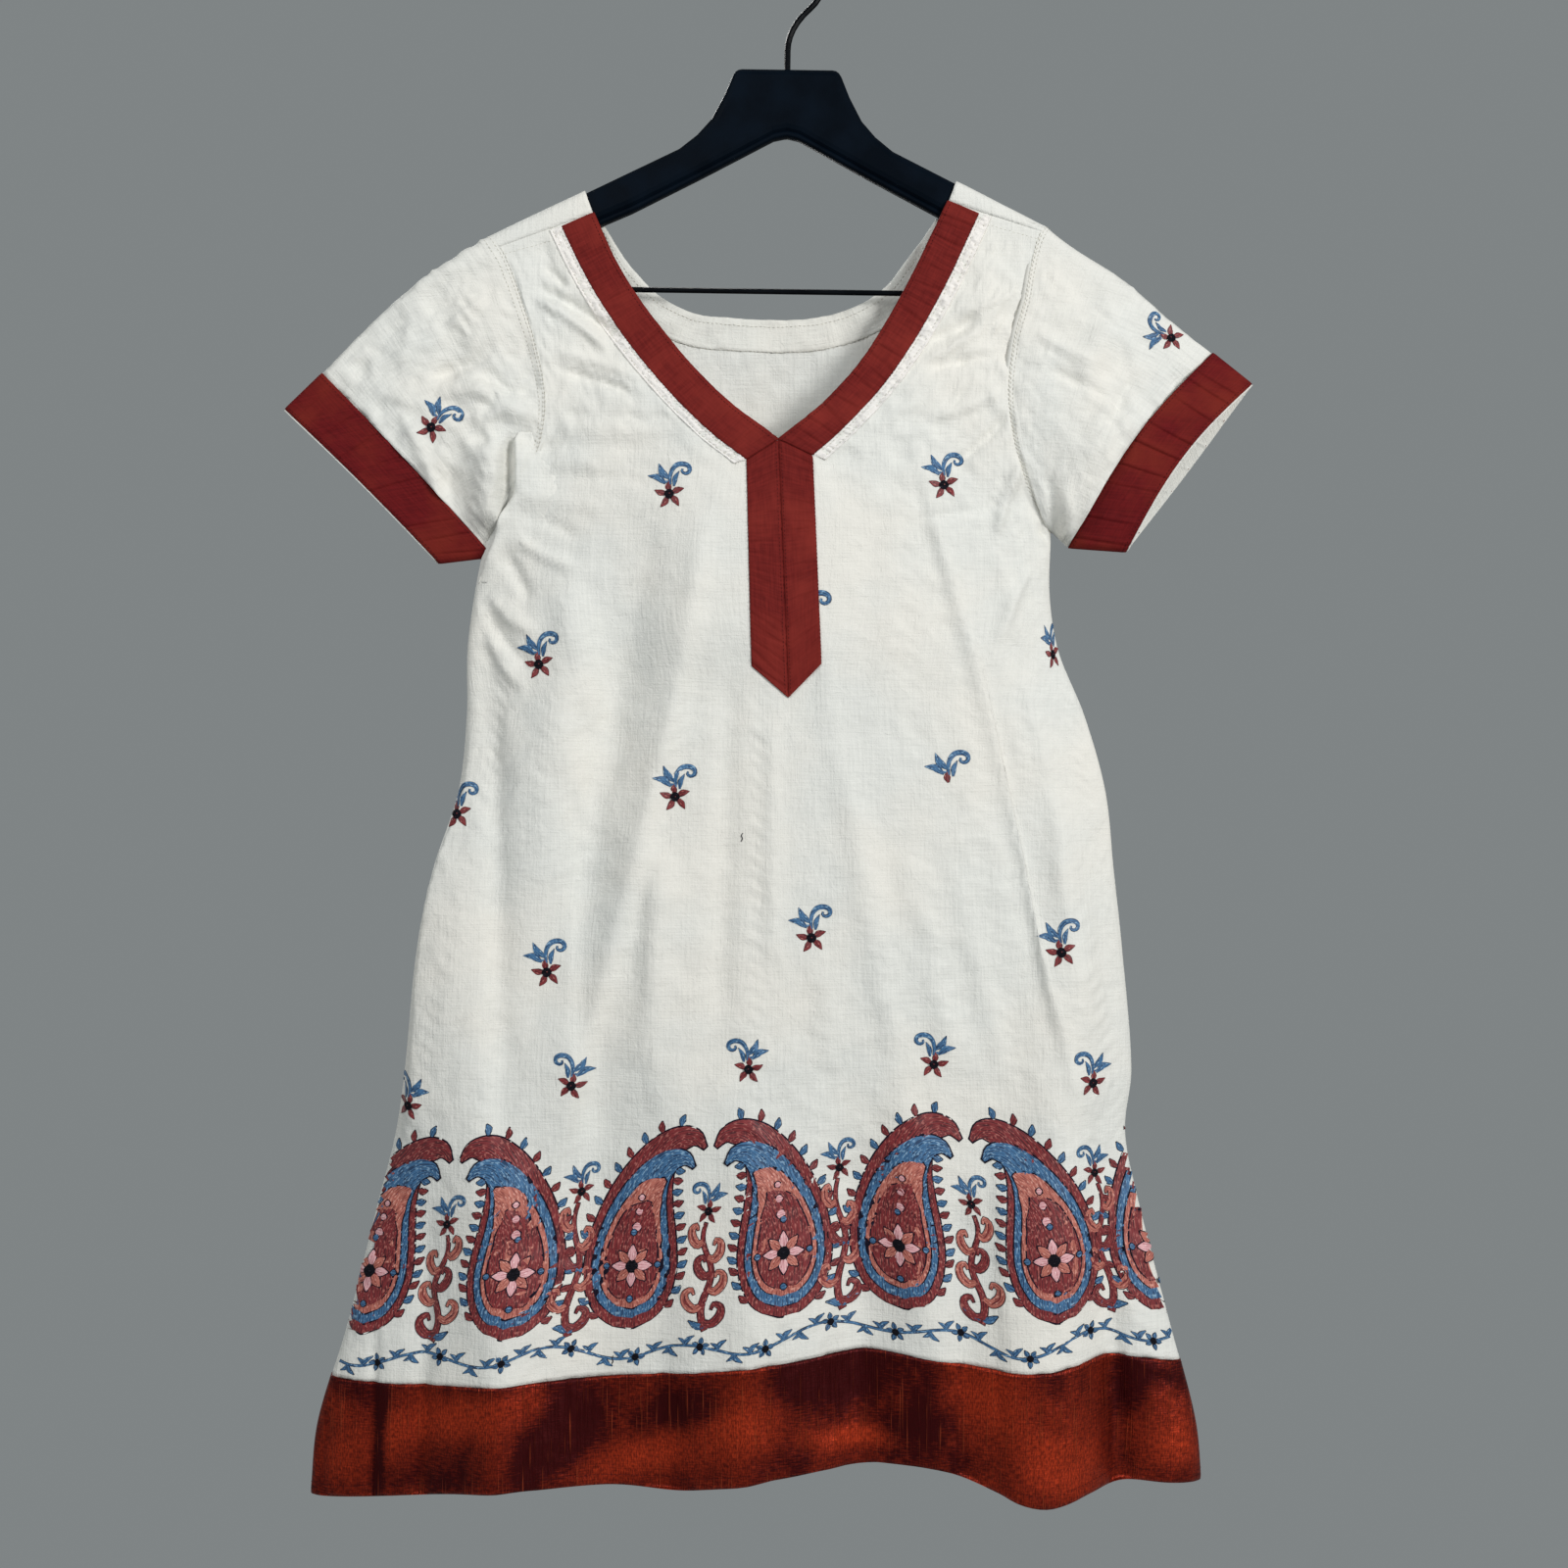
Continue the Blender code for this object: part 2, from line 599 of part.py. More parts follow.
def make_front_panel():
    """Front, from the hem band's seam to the shoulder seams, with the V cut out."""
    halves = [[row_points(FRONT, row) for row in front_rows(side)] for side in SIDES]
    quads, shared = two_halves(FRONT, halves[0], halves[1], SKIRT_ROWS + PLACKET_ROWS + 1)
    return cloth_piece("front_panel", quads, shared, "cream_cotton")


def make_back_panel():
    """Back, from the hem band's seam over the arms to the shoulder seams."""
    halves = []
    for side in SIDES:
        halves.append([row_points(BACK, row) for row in back_rows(side)] + ridge_rows(side))
    quads, shared = two_halves(BACK, halves[0], halves[1], BACK_SKIRT_ROWS + BACK_YOKE_ROWS + 1)
    return cloth_piece("back_panel", quads, shared, "cream_cotton")


def hem_band_rows(face, side):
    """Rows of half a hem band, from the hem up to the seam."""
    rows = []
    for j in range(HEM_ROWS + 1):
        share = j / HEM_ROWS
        outer = mix(hem_corner(face, side, "hem"), hem_corner(face, side, "seam"), share)
        seam_gap = SEAM * share
        middle_hem = hem_z(face, "hem", CENTRE_AT_HEM)
        middle_seam = hem_z(face, "seam", CENTRE_AT_HEM)
        middle = (CENTRE_AT_HEM, mix(middle_hem, middle_seam, share))
        band = mix(middle, outer, PLACKET_HALF / math.dist(middle, outer))

        def level(x, share=share, outer=outer, middle=middle, band=band, gap=seam_gap):
            straight = straight_z(outer, band, middle, x)
            return mix(hem_z(face, "hem", x), hem_z(face, "seam", x), share) - straight - gap

        row = Row((body_x(side, outer[1]), outer[1]), band, middle, 0.0, ROUND_EDGE, level)
        rows.append(row_points(face, row))
    return rows


def make_hem_band(face, name):
    """Wide band along the hem, below a panel."""
    halves = [hem_band_rows(face, side) for side in SIDES]
    quads, shared = two_halves(face, halves[0], halves[1], HEM_ROWS + 1)
    return cloth_piece(name, quads, shared, "rust_dupioni")


def raised(points, lift):
    """Grid of points moved out from the surface that they lie on."""
    result = []
    for j, row in enumerate(points):
        moved = []
        for i, point in enumerate(row):
            across = Vector(row[min(i + 1, len(row) - 1)]) - Vector(row[max(i - 1, 0)])
            up = Vector(points[min(j + 1, len(points) - 1)][i]) - Vector(points[max(j - 1, 0)][i])
            normal = across.cross(up).normalized()
            if normal.y > 0.0:
                normal.negate()
            moved.append(tuple(Vector(point) + normal * lift))
        result.append(moved)
    return result


def inner_columns(side, rows):
    """The columns of the front panel's rows that a band covers, with the full rows' own normals."""
    lifted = raised([row_points(FRONT, row) for row in rows], WALL + SEAM)
    return [row[SIDE_COLUMNS:] for row in lifted]


def make_neck_band(side):
    """Band on the front along the V, from the shoulder seam to the mitre."""
    rows = [front_placket_row(side, 1.0 - 1.0 / PLACKET_ROWS)]
    rows += [front_neck_row(side, j / NECK_ROWS) for j in range(NECK_ROWS + 1)]
    grid = inner_columns(side, rows)[1:]
    grid[0] = [mix(low, high, 2 * SEAM / math.dist(low, high)) for low, high in zip(grid[0], grid[1])]
    grid[0][-1] = (grid[0][-1][0] + SIDES[side] * SEAM / 2, grid[0][-1][1], grid[0][-1][2])
    quads = grid_quads(side, grid, side == "right")
    return cloth_piece("neck_band_" + side, quads, {}, "rust_cotton", TRIM_WALL)


def make_placket(side):
    """Half of the placket, from the mitre down to its pointed foot."""
    rows = [front_skirt_row(side, 1.0 - 1.0 / SKIRT_ROWS)]
    rows += [front_placket_row(side, j / PLACKET_ROWS) for j in range(PLACKET_ROWS + 1)]
    grid = inner_columns(side, rows)[1:]
    for row in grid:
        x, y, z = row[-1]
        row[-1] = (x + SIDES[side] * SEAM / 2, y, z)
    quads = grid_quads(side, grid, side == "right")
    return cloth_piece("placket_" + side, quads, {}, "rust_cotton", TRIM_WALL)


def back_neck_point(side, share):
    """Point of half the back neckline, from its middle to the shoulder."""
    return Vector((along_table(BACK_NECK, side + "_x", share), along_table(BACK_NECK, side + "_z", share)))


def back_neck_half(side):
    """Points along half the back neckline, each with the way into the cloth."""
    half = []
    steps = FACING_COLUMNS // 2
    for i in range(steps + 1):
        share = FACING_REACH * i / steps
        edge = back_neck_point(side, share)
        along = (back_neck_point(side, share + DIRECTION_STEP) - edge).normalized()
        inward = Vector((along.y, -along.x)) * SIDES[side]
        half.append((edge, inward))
    return half


def make_back_facing():
    """Strip inside the back neckline, as far out as it shows."""
    columns = back_neck_half("left")[:0:-1] + back_neck_half("right")
    grid = []
    for j in range(FACING_ROWS + 1):
        down = mix(FACING_WIDTH, FACING_EDGE, j / FACING_ROWS)
        row = []
        for edge, inward in columns:
            x, z = edge + inward * down
            side = "left" if x < BACK_NECK[0].left_x else "right"
            row.append((x, facing_depth(side, x, z), z))
        grid.append(row)
    quads = grid_quads("facing", grid, True)
    return cloth_piece("back_neck_facing", quads, {}, "cream_cotton", TRIM_WALL, outward=-1.0)


def facing_depth(side, x, z):
    """Inside of the back panel near the neckline, less a small clearance."""
    drop = ridge_z(x) - z
    outer_x = armhole_point(side, min(ARMPIT_DROP, drop))[0]
    across = (x - outer_x) / (BACK_NECK[0].left_x - outer_x)
    edge = read_table(ARMHOLE, "drop", "depth", drop)
    row = Row(None, None, None, edge, FLAT_EDGE, None)
    return panel_depth(BACK, row, x, z, across) - FACING_CLEARANCE


def armhole_stations(side):
    """Points of both panels along the armhole: up the front, over the ridge, down the back."""
    stations = [Station(*place_in_3d(armhole_point(side, ARMPIT_DROP), 0.0), -cloth_length(ARMPIT_DROP))]
    for j in range(1, NECK_ROWS):
        row = front_neck_row(side, j / NECK_ROWS)
        x, y, z = row_points(FRONT, row)[0]
        stations.append(Station(x, y, z, -cloth_length(ridge_z(x) - z)))
    for k in range(RIDGE_ROWS, -1, -1):
        x, y, z = over_ridge(side, k / RIDGE_ROWS, 0.0)
        length = cloth_length(max(0.0, ridge_z(x) - z))
        stations.append(Station(x, y, z, math.copysign(length, y)))
    upper = BACK_YOKE_ROWS + BACK_NECK_ROWS
    for row in back_rows(side)[-1:-upper:-1]:
        x, y, z = row_points(BACK, row)[0]
        stations.append(Station(x, y, z, cloth_length(ridge_z(x) - z)))
    return stations


def place_in_3d(point, y):
    """Point of the front view at a depth."""
    return (point[0], y, point[1])


def sleeve_top(side, share):
    """Inside of the folded top edge of a sleeve."""
    return (along_table(SLEEVE_TOP, side + "_x", share), along_table(SLEEVE_TOP, side + "_z", share) - WALL)


def armpit_ease(low):
    """How far along the sleeve's last drawing away, near its lowest point, a station is."""
    return smoothstep((low - ARMPIT_EASE_FROM) / (1.0 - ARMPIT_EASE_FROM))


def sleeve_point(side, station, share):
    """Point of a sleeve, from the armhole to the cuff band's seam."""
    sign = SIDES[side]
    low = min(1.0, abs(station.length) / cloth_length(ARMPIT_DROP))
    armpit = armhole_point(side, ARMPIT_DROP)
    start_low = (armpit[0] + sign * ARMPIT_EASE[0], armpit[1] + ARMPIT_EASE[1])
    x, z = mix(sleeve_top(side, share), mix(start_low, CUFF_SEAM_LOW[side], share), low)
    start = mix(sleeve_top(side, 0.0), start_low, low)
    clear = SEAM + armpit_ease(low) * ARMPIT_CLEARANCE
    at_seam = (station.x + sign * clear, station.z + armpit_ease(low) * ARMPIT_CLEARANCE)
    if low >= 1.0:
        at_seam = start_low
    stay = (1.0 - share) ** SLEEVE_START
    x += (at_seam[0] - start[0]) * stay
    z += (at_seam[1] - start[1]) * stay
    front_bow, back_bow = CUFF_BOW[side]
    bow = (front_bow if station.length < 0 else back_bow) * math.sin(math.pi * low) * share ** 2
    x -= sign * bow * CUFF_BOW_WAY[0]
    z += bow * CUFF_BOW_WAY[1]
    rounded = CUFF_HALF_DEPTH[side] * math.sqrt(math.sin(math.pi * low))
    puff = SLEEVE_PUFF * math.sin(math.pi * low) * math.sin(math.pi * share) ** 2
    flat = mix(abs(station.y), rounded, smoothstep(share)) + puff
    return (x, math.copysign(flat, station.length) if low < 1.0 else 0.0, z)


def cuff_point(side, station, share):
    """Point of a cuff band, from its seam to its open edge."""
    low = min(1.0, abs(station.length) / cloth_length(ARMPIT_DROP))
    x, y, z = sleeve_point(side, station, 1.0)
    seam_top = sleeve_top(side, 1.0)
    edge_top = (CUFF_EDGE_TOP[side][0], CUFF_EDGE_TOP[side][1] - WALL)
    edge_low = CUFF_EDGE_LOW[side]
    seam_low = CUFF_SEAM_LOW[side]
    top_move = (edge_top[0] - seam_top[0], edge_top[1] - seam_top[1])
    low_move = (edge_low[0] - seam_low[0], edge_low[1] - seam_low[1])
    move = mix(top_move, low_move, low)
    gap = SEAM + CUFF_FOLD_CLEARANCE * armpit_ease(low)
    reach = mix(gap / math.hypot(*move), 1.0, share)
    swell = 1.0 + CUFF_FLARE * share ** 2
    return (x + move[0] * reach, y * swell, z + move[1] * reach)


def make_sleeve(side):
    """Sleeve, one folded piece from the armhole to the cuff band."""
    stations = armhole_stations(side)
    rows = [[sleeve_point(side, s, j / SLEEVE_RINGS) for s in stations] for j in range(SLEEVE_RINGS + 1)]
    quads = grid_quads(side, rows, side == "right", closed=True)
    return cloth_piece("sleeve_" + side, quads, {}, "cream_cotton")


def make_cuff_band(side):
    """Band round the sleeve's open end."""
    stations = armhole_stations(side)
    rows = [[cuff_point(side, s, j / CUFF_RINGS) for s in stations] for j in range(CUFF_RINGS + 1)]
    quads = grid_quads(side, rows, side == "right", closed=True)
    return cloth_piece("cuff_band_" + side, quads, {}, "rust_cotton")


def arm_top(x):
    """Top edge of the hanger's arm before its edges are rounded out."""
    rise = (RIDGE_DROP - RIDGE_RADIUS) + ARM_GAP / math.cos(math.radians(ARM_SLOPE))
    return RIDGE_APEX_Z - rise - x * math.tan(math.radians(ARM_SLOPE))


def rounded_corner(before, corner, after, radius):
    """Points of the arc that replaces a corner of the hanger's outline."""
    into = (Vector(corner) - Vector(before)).normalized()
    out = (Vector(after) - Vector(corner)).normalized()
    turn = into.angle(out)
    reach = radius * math.tan(turn / 2)
    start = Vector(corner) - into * reach
    centre = start + Vector((into.y, -into.x)) * radius
    arc = []
    for k in range(CORNER_STEPS + 1):
        swing = Matrix.Rotation(-turn * k / CORNER_STEPS, 2)
        arc.append(tuple(centre + swing @ (start - centre)))
    return arc


def hanger_outline():
    """Right half of the hanger's outline, from the top middle to the underside's middle."""
    points = []
    following = [(corner.x, corner.z) for corner in HEAD_CORNERS[1:]] + [(ARM_ROOT_X, arm_top(ARM_ROOT_X))]
    for corner, after in zip(HEAD_CORNERS, following):
        place = (corner.x, corner.z)
        points += rounded_corner(points[-1], place, after, corner.radius) if corner.radius else [place]
    points.append(following[-1])
    for end in ARM_END:
        x = HANGER_REACH - end.inward
        points.append((x, arm_top(x) - end.below))
    points += [(low.x, low.z) for low in UNDERSIDE]
    return points


def tilt_matrix():
    """Small turn of the whole hanger about the point it hangs from."""
    return Matrix.Rotation(math.radians(HANGER_TILT), 4, "Y")


def inset_outline(points, amount):
    """Outline drawn in by the rounding that the edges add."""
    count = len(points)
    inset = []
    for i, point in enumerate(points):
        before = Vector(point) - Vector(points[i - 1])
        after = Vector(points[(i + 1) % count]) - Vector(point)
        normal = before.normalized() + after.normalized()
        inward = Vector((normal.y, -normal.x)).normalized()
        corner = inward.dot(Vector((before.y, -before.x)).normalized())
        inset.append(Vector(point) + inward * (amount / corner))
    return inset


def make_hanger_body():
    """Flat hanger with rounded edges, with sockets for the hook and the bar."""
    half = hanger_outline()
    whole = half + [(-x, z) for x, z in half[-2:0:-1]]
    curve = bpy.data.curves.new("hanger_outline", "CURVE")
    curve.dimensions = "2D"
    curve.fill_mode = "BOTH"
    curve.extrude = (ARM_HALF_DEPTH - ARM_EDGE_ROUND) * MM
    curve.bevel_depth = ARM_EDGE_ROUND * MM
    curve.bevel_resolution = ARM_EDGE_STEPS
    spline = curve.splines.new("POLY")
    points = inset_outline(whole, ARM_EDGE_ROUND)
    spline.points.add(len(points) - 1)
    for target, point in zip(spline.points, points):
        target.co = (point.x * MM, point.y * MM, 0.0, 1.0)
    spline.use_cyclic_u = True
    flat = bpy.data.objects.new("hanger_outline", curve)
    PARTS.objects.link(flat)
    bpy.context.view_layer.update()
    evaluated = flat.evaluated_get(bpy.context.evaluated_depsgraph_get())
    mesh = bpy.data.meshes.new_from_object(evaluated)
    bpy.data.objects.remove(flat)
    bm = bmesh.new()
    bm.from_mesh(mesh)
    bmesh.ops.remove_doubles(bm, verts=bm.verts, dist=MERGE * MM)
    bm.transform(Matrix.Rotation(math.pi / 2, 4, "X"))
    bm.to_mesh(mesh)
    bm.free()
    body = bpy.data.objects.new("hanger_body", mesh)
    body.matrix_world = tilt_matrix()
    finish(body, "black_plastic")
    add_socket(body, "hook", (0.0, HANGER_TOP), WIRE_RADIUS, SOCKET_DEPTH)
    for side, sign in SIDES.items():
        low = underside_z(BAR_REACH)
        add_socket(body, "bar_" + side, (sign * BAR_REACH, low), BAR_RADIUS, BAR_SOCKET_DEPTH)
    return body


def underside_z(x):
    """Underside of the hanger's arm."""
    for outer, inner in zip(UNDERSIDE, UNDERSIDE[1:]):
        if inner.x <= x <= outer.x:
            return mix(inner.z, outer.z, (x - inner.x) / (outer.x - inner.x))
    return UNDERSIDE[0].z


def add_socket(body, name, place, radius, depth):
    """Round blind hole in the hanger, straight up or down."""
    bpy.ops.mesh.primitive_cylinder_add(vertices=SOCKET_FACETS, radius=(radius + SOCKET_CLEARANCE) * MM,
                                        depth=(2 * depth) * MM, location=(0.0, 0.0, 0.0))
    cutter = bpy.context.object
    cutter.name = name + "_socket"
    cutter.matrix_world = tilt_matrix() @ Matrix.Translation(Vector((place[0], 0.0, place[1])) * MM)
    for collection in cutter.users_collection:
        collection.objects.unlink(cutter)
    CUTTERS.objects.link(cutter)
    cutter.hide_render = True
    cutter.display_type = "WIRE"
    cut = body.modifiers.new(name + "_socket", "BOOLEAN")
    cut.operation = "DIFFERENCE"
    cut.object = cutter


def wire(name, points, radius, material, resolution):
    """Round wire through a list of points."""
    curve = bpy.data.curves.new(name, "CURVE")
    curve.dimensions = "3D"
    curve.bevel_depth = radius * MM
    curve.bevel_resolution = resolution
    curve.use_fill_caps = True
    spline = curve.splines.new("POLY")
    spline.points.add(len(points) - 1)
    for target, (x, z) in zip(spline.points, points):
        target.co = (x * MM, 0.0, z * MM, 1.0)
    piece = bpy.data.objects.new(name, curve)
    piece.matrix_world = tilt_matrix()
    finish(piece, material)
    return piece


def make_hanger_hook():
    """Hook of one wire: up from the body, out to the right and over."""
    radius = HOOK_INSIDE + WIRE_RADIUS
    centre = Vector((0.0, -HOOK_INSIDE))
    heading = math.radians(HOOK_START_ANGLE + 90.0)
    foot = (0.0, HANGER_TOP - SOCKET_DEPTH + SOCKET_CLEARANCE)
    neck = (0.0, HANGER_TOP + HOOK_NECK)
    above = (0.0, neck[1] + HOOK_NECK_PULL)
    start = centre + Vector((math.sin(heading), -math.cos(heading))) * radius
    pull = tuple(start - Vector((math.cos(heading), math.sin(heading))) * HOOK_BEND_PULL)
    points = [foot, (0.0, HANGER_TOP + HOOK_STRAIGHT), neck]
    for k in range(1, HOOK_NECK_STEPS):
        t = k / HOOK_NECK_STEPS
        low = mix(mix(neck, above, t), mix(above, pull, t), t)
        high = mix(mix(above, pull, t), mix(pull, tuple(start), t), t)
        points.append(mix(low, high, t))
    for k in range(HOOK_STEPS + 1):
        angle = math.radians(mix(HOOK_START_ANGLE, HOOK_END_ANGLE, k / HOOK_STEPS))
        points.append(tuple(centre + Vector((math.cos(angle), math.sin(angle))) * radius))
    return wire("hanger_hook", points, WIRE_RADIUS, "black_wire", 2)


def make_hanger_bar():
    """Bar between the arms, its ends turned up into them."""
    top = underside_z(BAR_REACH) + BAR_SOCKET_DEPTH - SOCKET_CLEARANCE
    right = [(BAR_REACH, top)]
    bend_x = BAR_REACH - BAR_BEND
    bend_z = BAR_DROP + BAR_BEND
    for k in range(BAR_BEND_STEPS + 1):
        angle = math.radians(-90.0 * k / BAR_BEND_STEPS)
        right.append((bend_x + BAR_BEND * math.cos(angle), bend_z + BAR_BEND * math.sin(angle)))
    points = right + [(-x, z) for x, z in right[::-1]]
    return wire("hanger_bar", points, BAR_RADIUS, "black_wire", 1)


def make_material(name):
    """Principled material of one of the kinds of stuff."""
    colour, roughness, metallic = MATERIALS[name]
    material = bpy.data.materials.new(name)
    material.use_nodes = True
    shader = material.node_tree.nodes["Principled BSDF"]
    shader.inputs["Base Color"].default_value = (*colour, 1.0)
    shader.inputs["Roughness"].default_value = roughness
    shader.inputs["Metallic"].default_value = metallic
    return material


def finish(piece, material):
    """Gives a piece its own material, collection and parent."""
    own = make_material(material)
    own.name = piece.name + "_" + material
    piece.data.materials.clear()
    piece.data.materials.append(own)
    PARTS.objects.link(piece)
    place = piece.matrix_world.copy()
    piece.parent = ROOT
    piece.matrix_world = place


for old in list(bpy.data.objects):
    bpy.data.objects.remove(old)

PARTS = bpy.data.collections.new("tunic_dress")
CUTTERS = bpy.data.collections.new("cutters")
bpy.context.scene.collection.children.link(PARTS)
bpy.context.scene.collection.children.link(CUTTERS)
ROOT = bpy.data.objects.new("hanging_point", None)
PARTS.objects.link(ROOT)

make_front_panel()
make_back_panel()
make_back_facing()
make_hem_band(FRONT, "hem_band_front")
make_hem_band(BACK, "hem_band_back")
for side_name in SIDES:
    make_sleeve(side_name)
    make_cuff_band(side_name)
    make_neck_band(side_name)
    make_placket(side_name)
make_hanger_body()
make_hanger_bar()
make_hanger_hook()
bpy.context.view_layer.update()
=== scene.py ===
"""Looks of the cotton tunic on its hanger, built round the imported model."""
import math

import bpy
import numpy as np
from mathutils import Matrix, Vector
from mathutils.bvhtree import BVHTree


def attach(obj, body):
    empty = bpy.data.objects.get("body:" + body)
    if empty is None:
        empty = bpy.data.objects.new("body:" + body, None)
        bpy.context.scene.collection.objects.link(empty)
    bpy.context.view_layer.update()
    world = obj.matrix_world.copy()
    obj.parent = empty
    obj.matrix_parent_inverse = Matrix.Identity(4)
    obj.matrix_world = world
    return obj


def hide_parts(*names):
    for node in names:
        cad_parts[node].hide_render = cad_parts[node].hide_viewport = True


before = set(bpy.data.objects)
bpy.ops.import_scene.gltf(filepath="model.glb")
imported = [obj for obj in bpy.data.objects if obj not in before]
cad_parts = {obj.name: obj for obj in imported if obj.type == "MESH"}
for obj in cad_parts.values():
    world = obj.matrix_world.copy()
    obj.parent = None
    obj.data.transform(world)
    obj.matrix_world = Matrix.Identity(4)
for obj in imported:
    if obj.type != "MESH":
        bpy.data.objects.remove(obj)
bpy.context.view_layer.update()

MM = 0.001


def table(names, *rows):
    """Small table as one array for each named column."""
    return dict(zip(names.split(), np.array(rows, float).T))


# Sizes in millimetres, the same as the solids'
WALL = 1.2
CLOTH_SHIFT = -3.5
LOOSEN = 50.0
SIDE_FADE = 0.12
ARMPIT_ROUND = 0.12
HANGER_TILT = 0.8
ARM_SLOPE = 26.35
RIDGE_APEX = (2.0, -103.3)
RIDGE_RADIUS = 6.8
RIDGE_DROP = RIDGE_RADIUS / math.cos(math.radians(ARM_SLOPE))
ARMPIT_DROP = 217.0
PLACKET_TIP = (3.0, -534.4)
PLACKET_CORNER = {"left": (-22.6, -512.4), "right": (26.0, -511.0)}
PLACKET_FOOT_SIDE_Z = -545.0
PLACKET_HALF = 25.0
SEAM_DROP_OUTER = {"left": 12.5, "right": 6.4}
STRAP_INNER_X = {"left": (-140.0, -143.0, -135.5), "right": (120.0, 124.0, 116.8)}
BACK_ARMPIT_CENTRE_Z = -405.0
BACK_NECK_BOTTOM_Z = -260.4
CENTRE_X = -4.0
SIGN = {"left": -1.0, "right": 1.0}
FACE = {"front": -1.0, "back": 1.0}

BODY = table(
    "z left right",
    (-421, -213.5, 190.4), (-460, -221.0, 189.7), (-500, -226.0, 196.0), (-546, -226.5, 214.5),
    (-600, -232.5, 229.5), (-657, -251.0, 235.5), (-714, -262.5, 241.5), (-800, -271.0, 248.0),
    (-845, -277.5, 243.5), (-892, -289.5, 252.0), (-985, -313.0, 276.0), (-1050, -332.5, 293.5),
    (-1100, -337.5, 298.0))
DEPTH = table(
    "z front back",
    (-170, 7, 7), (-230, 10, 12), (-300, 15, 18), (-355, 19, 21), (-420, 23, 24), (-534, 26, 26),
    (-700, 30, 28), (-900, 33, 31), (-1100, 35, 33))
ARMHOLE = table(
    "drop left right depth",
    (0, -210.0, 187.0, 6.8), (8, -204.5, 182.0, 6.8), (20, -198.5, 178.5, 7.2),
    (40, -191.5, 174.3, 8.6), (62, -185.0, 170.8, 10.4), (91, -177.0, 163.5, 12.2),
    (131, -169.5, 158.8, 13.6), (156, -170.3, 161.0, 13.4), (174, -176.0, 165.5, 12.6),
    (199, -194.0, 176.0, 9.6), (ARMPIT_DROP, -212.3, 189.2, 0.0))
NECK = table(
    "left_in_x left_in_z left_out_x left_out_z right_in_x right_in_z right_out_x right_out_z",
    (-135.5, -189.4, -157.8, -199.1, 116.8, -181.0, 138.3, -190.0),
    (-121.0, -222.0, -141.5, -233.2, 105.0, -206.0, 126.0, -217.0),
    (-104.6, -249.5, -124.7, -261.5, 91.0, -235.0, 112.0, -246.0),
    (-85.0, -276.0, -103.6, -291.5, 73.0, -268.0, 93.0, -280.0),
    (-61.0, -305.0, -78.5, -322.0, 53.0, -299.0, 71.0, -312.5),
    (-36.0, -330.0, -53.0, -348.0, 27.0, -328.5, 45.0, -342.0),
    (-4.0, -354.2, -26.1, -368.9, -4.0, -354.2, 20.0, -365.2))
BACK_NECK = table(
    "left_x left_z right_x right_z",
    (CENTRE_X, BACK_NECK_BOTTOM_Z, CENTRE_X, BACK_NECK_BOTTOM_Z), (-37.0, -259.0, 25.0, -258.5),
    (-66.0, -255.5, 52.0, -251.0), (-92.0, -242.0, 74.0, -237.0), (-113.0, -220.0, 92.0, -214.5),
    (-129.5, -195.0, 108.0, -193.0), (-140.0, -178.8, 120.0, -171.4))
HEM = table(
    "x front_seam front_hem back_seam back_hem",
    (-337, -1016, -1100, -1016, -1100), (-266, -1016, -1093, -1013, -1094),
    (-196, -1011, -1084, -1008, -1090), (-130, -1010, -1085, -1008, -1090),
    (-70, -1005, -1086, -1010, -1091), (0, -996, -1075, -1006, -1087),
    (60, -992, -1071, -1000, -1081), (115, -998, -1074, -1002, -1083),
    (155, -1002, -1088, -1006, -1087), (182, -1001, -1094, -1007, -1088),
    (215, -997, -1088, -1003, -1085), (250, -999, -1086, -1001, -1084),
    (298, -1008, -1090, -1008, -1090))
# Large folds: line, half widths at its ends, swell, and whether it runs on to the hem
FOLDS = {
    "front": ((-95, -400, -165, -790, 26, 26, -13, 0), (-150, -640, -112, -1100, 20, 40, -11, 1),
              (-228, -560, -200, -1100, 18, 40, 13, 1), (-205, -440, -240, -650, 12, 14, -6, 0),
              (-160, -430, -128, -640, 14, 18, 5, 0), (-40, -640, -10, -1100, 30, 42, 5, 1),
              (50, -760, 62, -1100, 30, 38, -15, 1), (118, -420, 200, -800, 15, 15, -9, 0),
              (205, -560, 182, -1100, 20, 36, 16, 1), (210, -860, 240, -1100, 12, 20, -10, 1)),
    "back": ((-70, -430, -125, -1100, 28, 46, -12, 1), (-185, -560, -215, -1100, 22, 42, 12, 1),
             (-20, -560, -30, -1100, 26, 48, 12, 1), (75, -420, 95, -1100, 26, 46, -13, 1),
             (150, -520, 190, -1100, 22, 40, 12, 1), (0, -290, 0, -520, 30, 40, 5, 0)),
}
SLEEVE_TOP = table(
    "left_x left_z right_x right_z",
    (-210.0, -202.8, 187.0, -197.2), (-244.3, -224.3, 205.0, -211.0), (-268.0, -241.5, 242.9, -235.5),
    (-300.0, -270.5, 275.0, -263.5), (-329.0, -300.6, 305.2, -286.6))
CUFF_SEAM_LOW = {"left": (-208.0, -431.0), "right": (203.0, -424.5)}
CUFF_EDGE_TOP = {"left": (-355.6, -326.5), "right": (333.2, -309.0)}
CUFF_EDGE_LOW = {"left": (-247.0, -435.7), "right": (244.3, -427.5)}
CUFF_HALF_DEPTH = {"left": 8.0, "right": 12.0}
CUFF_BOW = {"left": (1.5, 1.5), "right": (9.0, -2.0)}
ARMPIT_EASE = (3.2, 1.8)

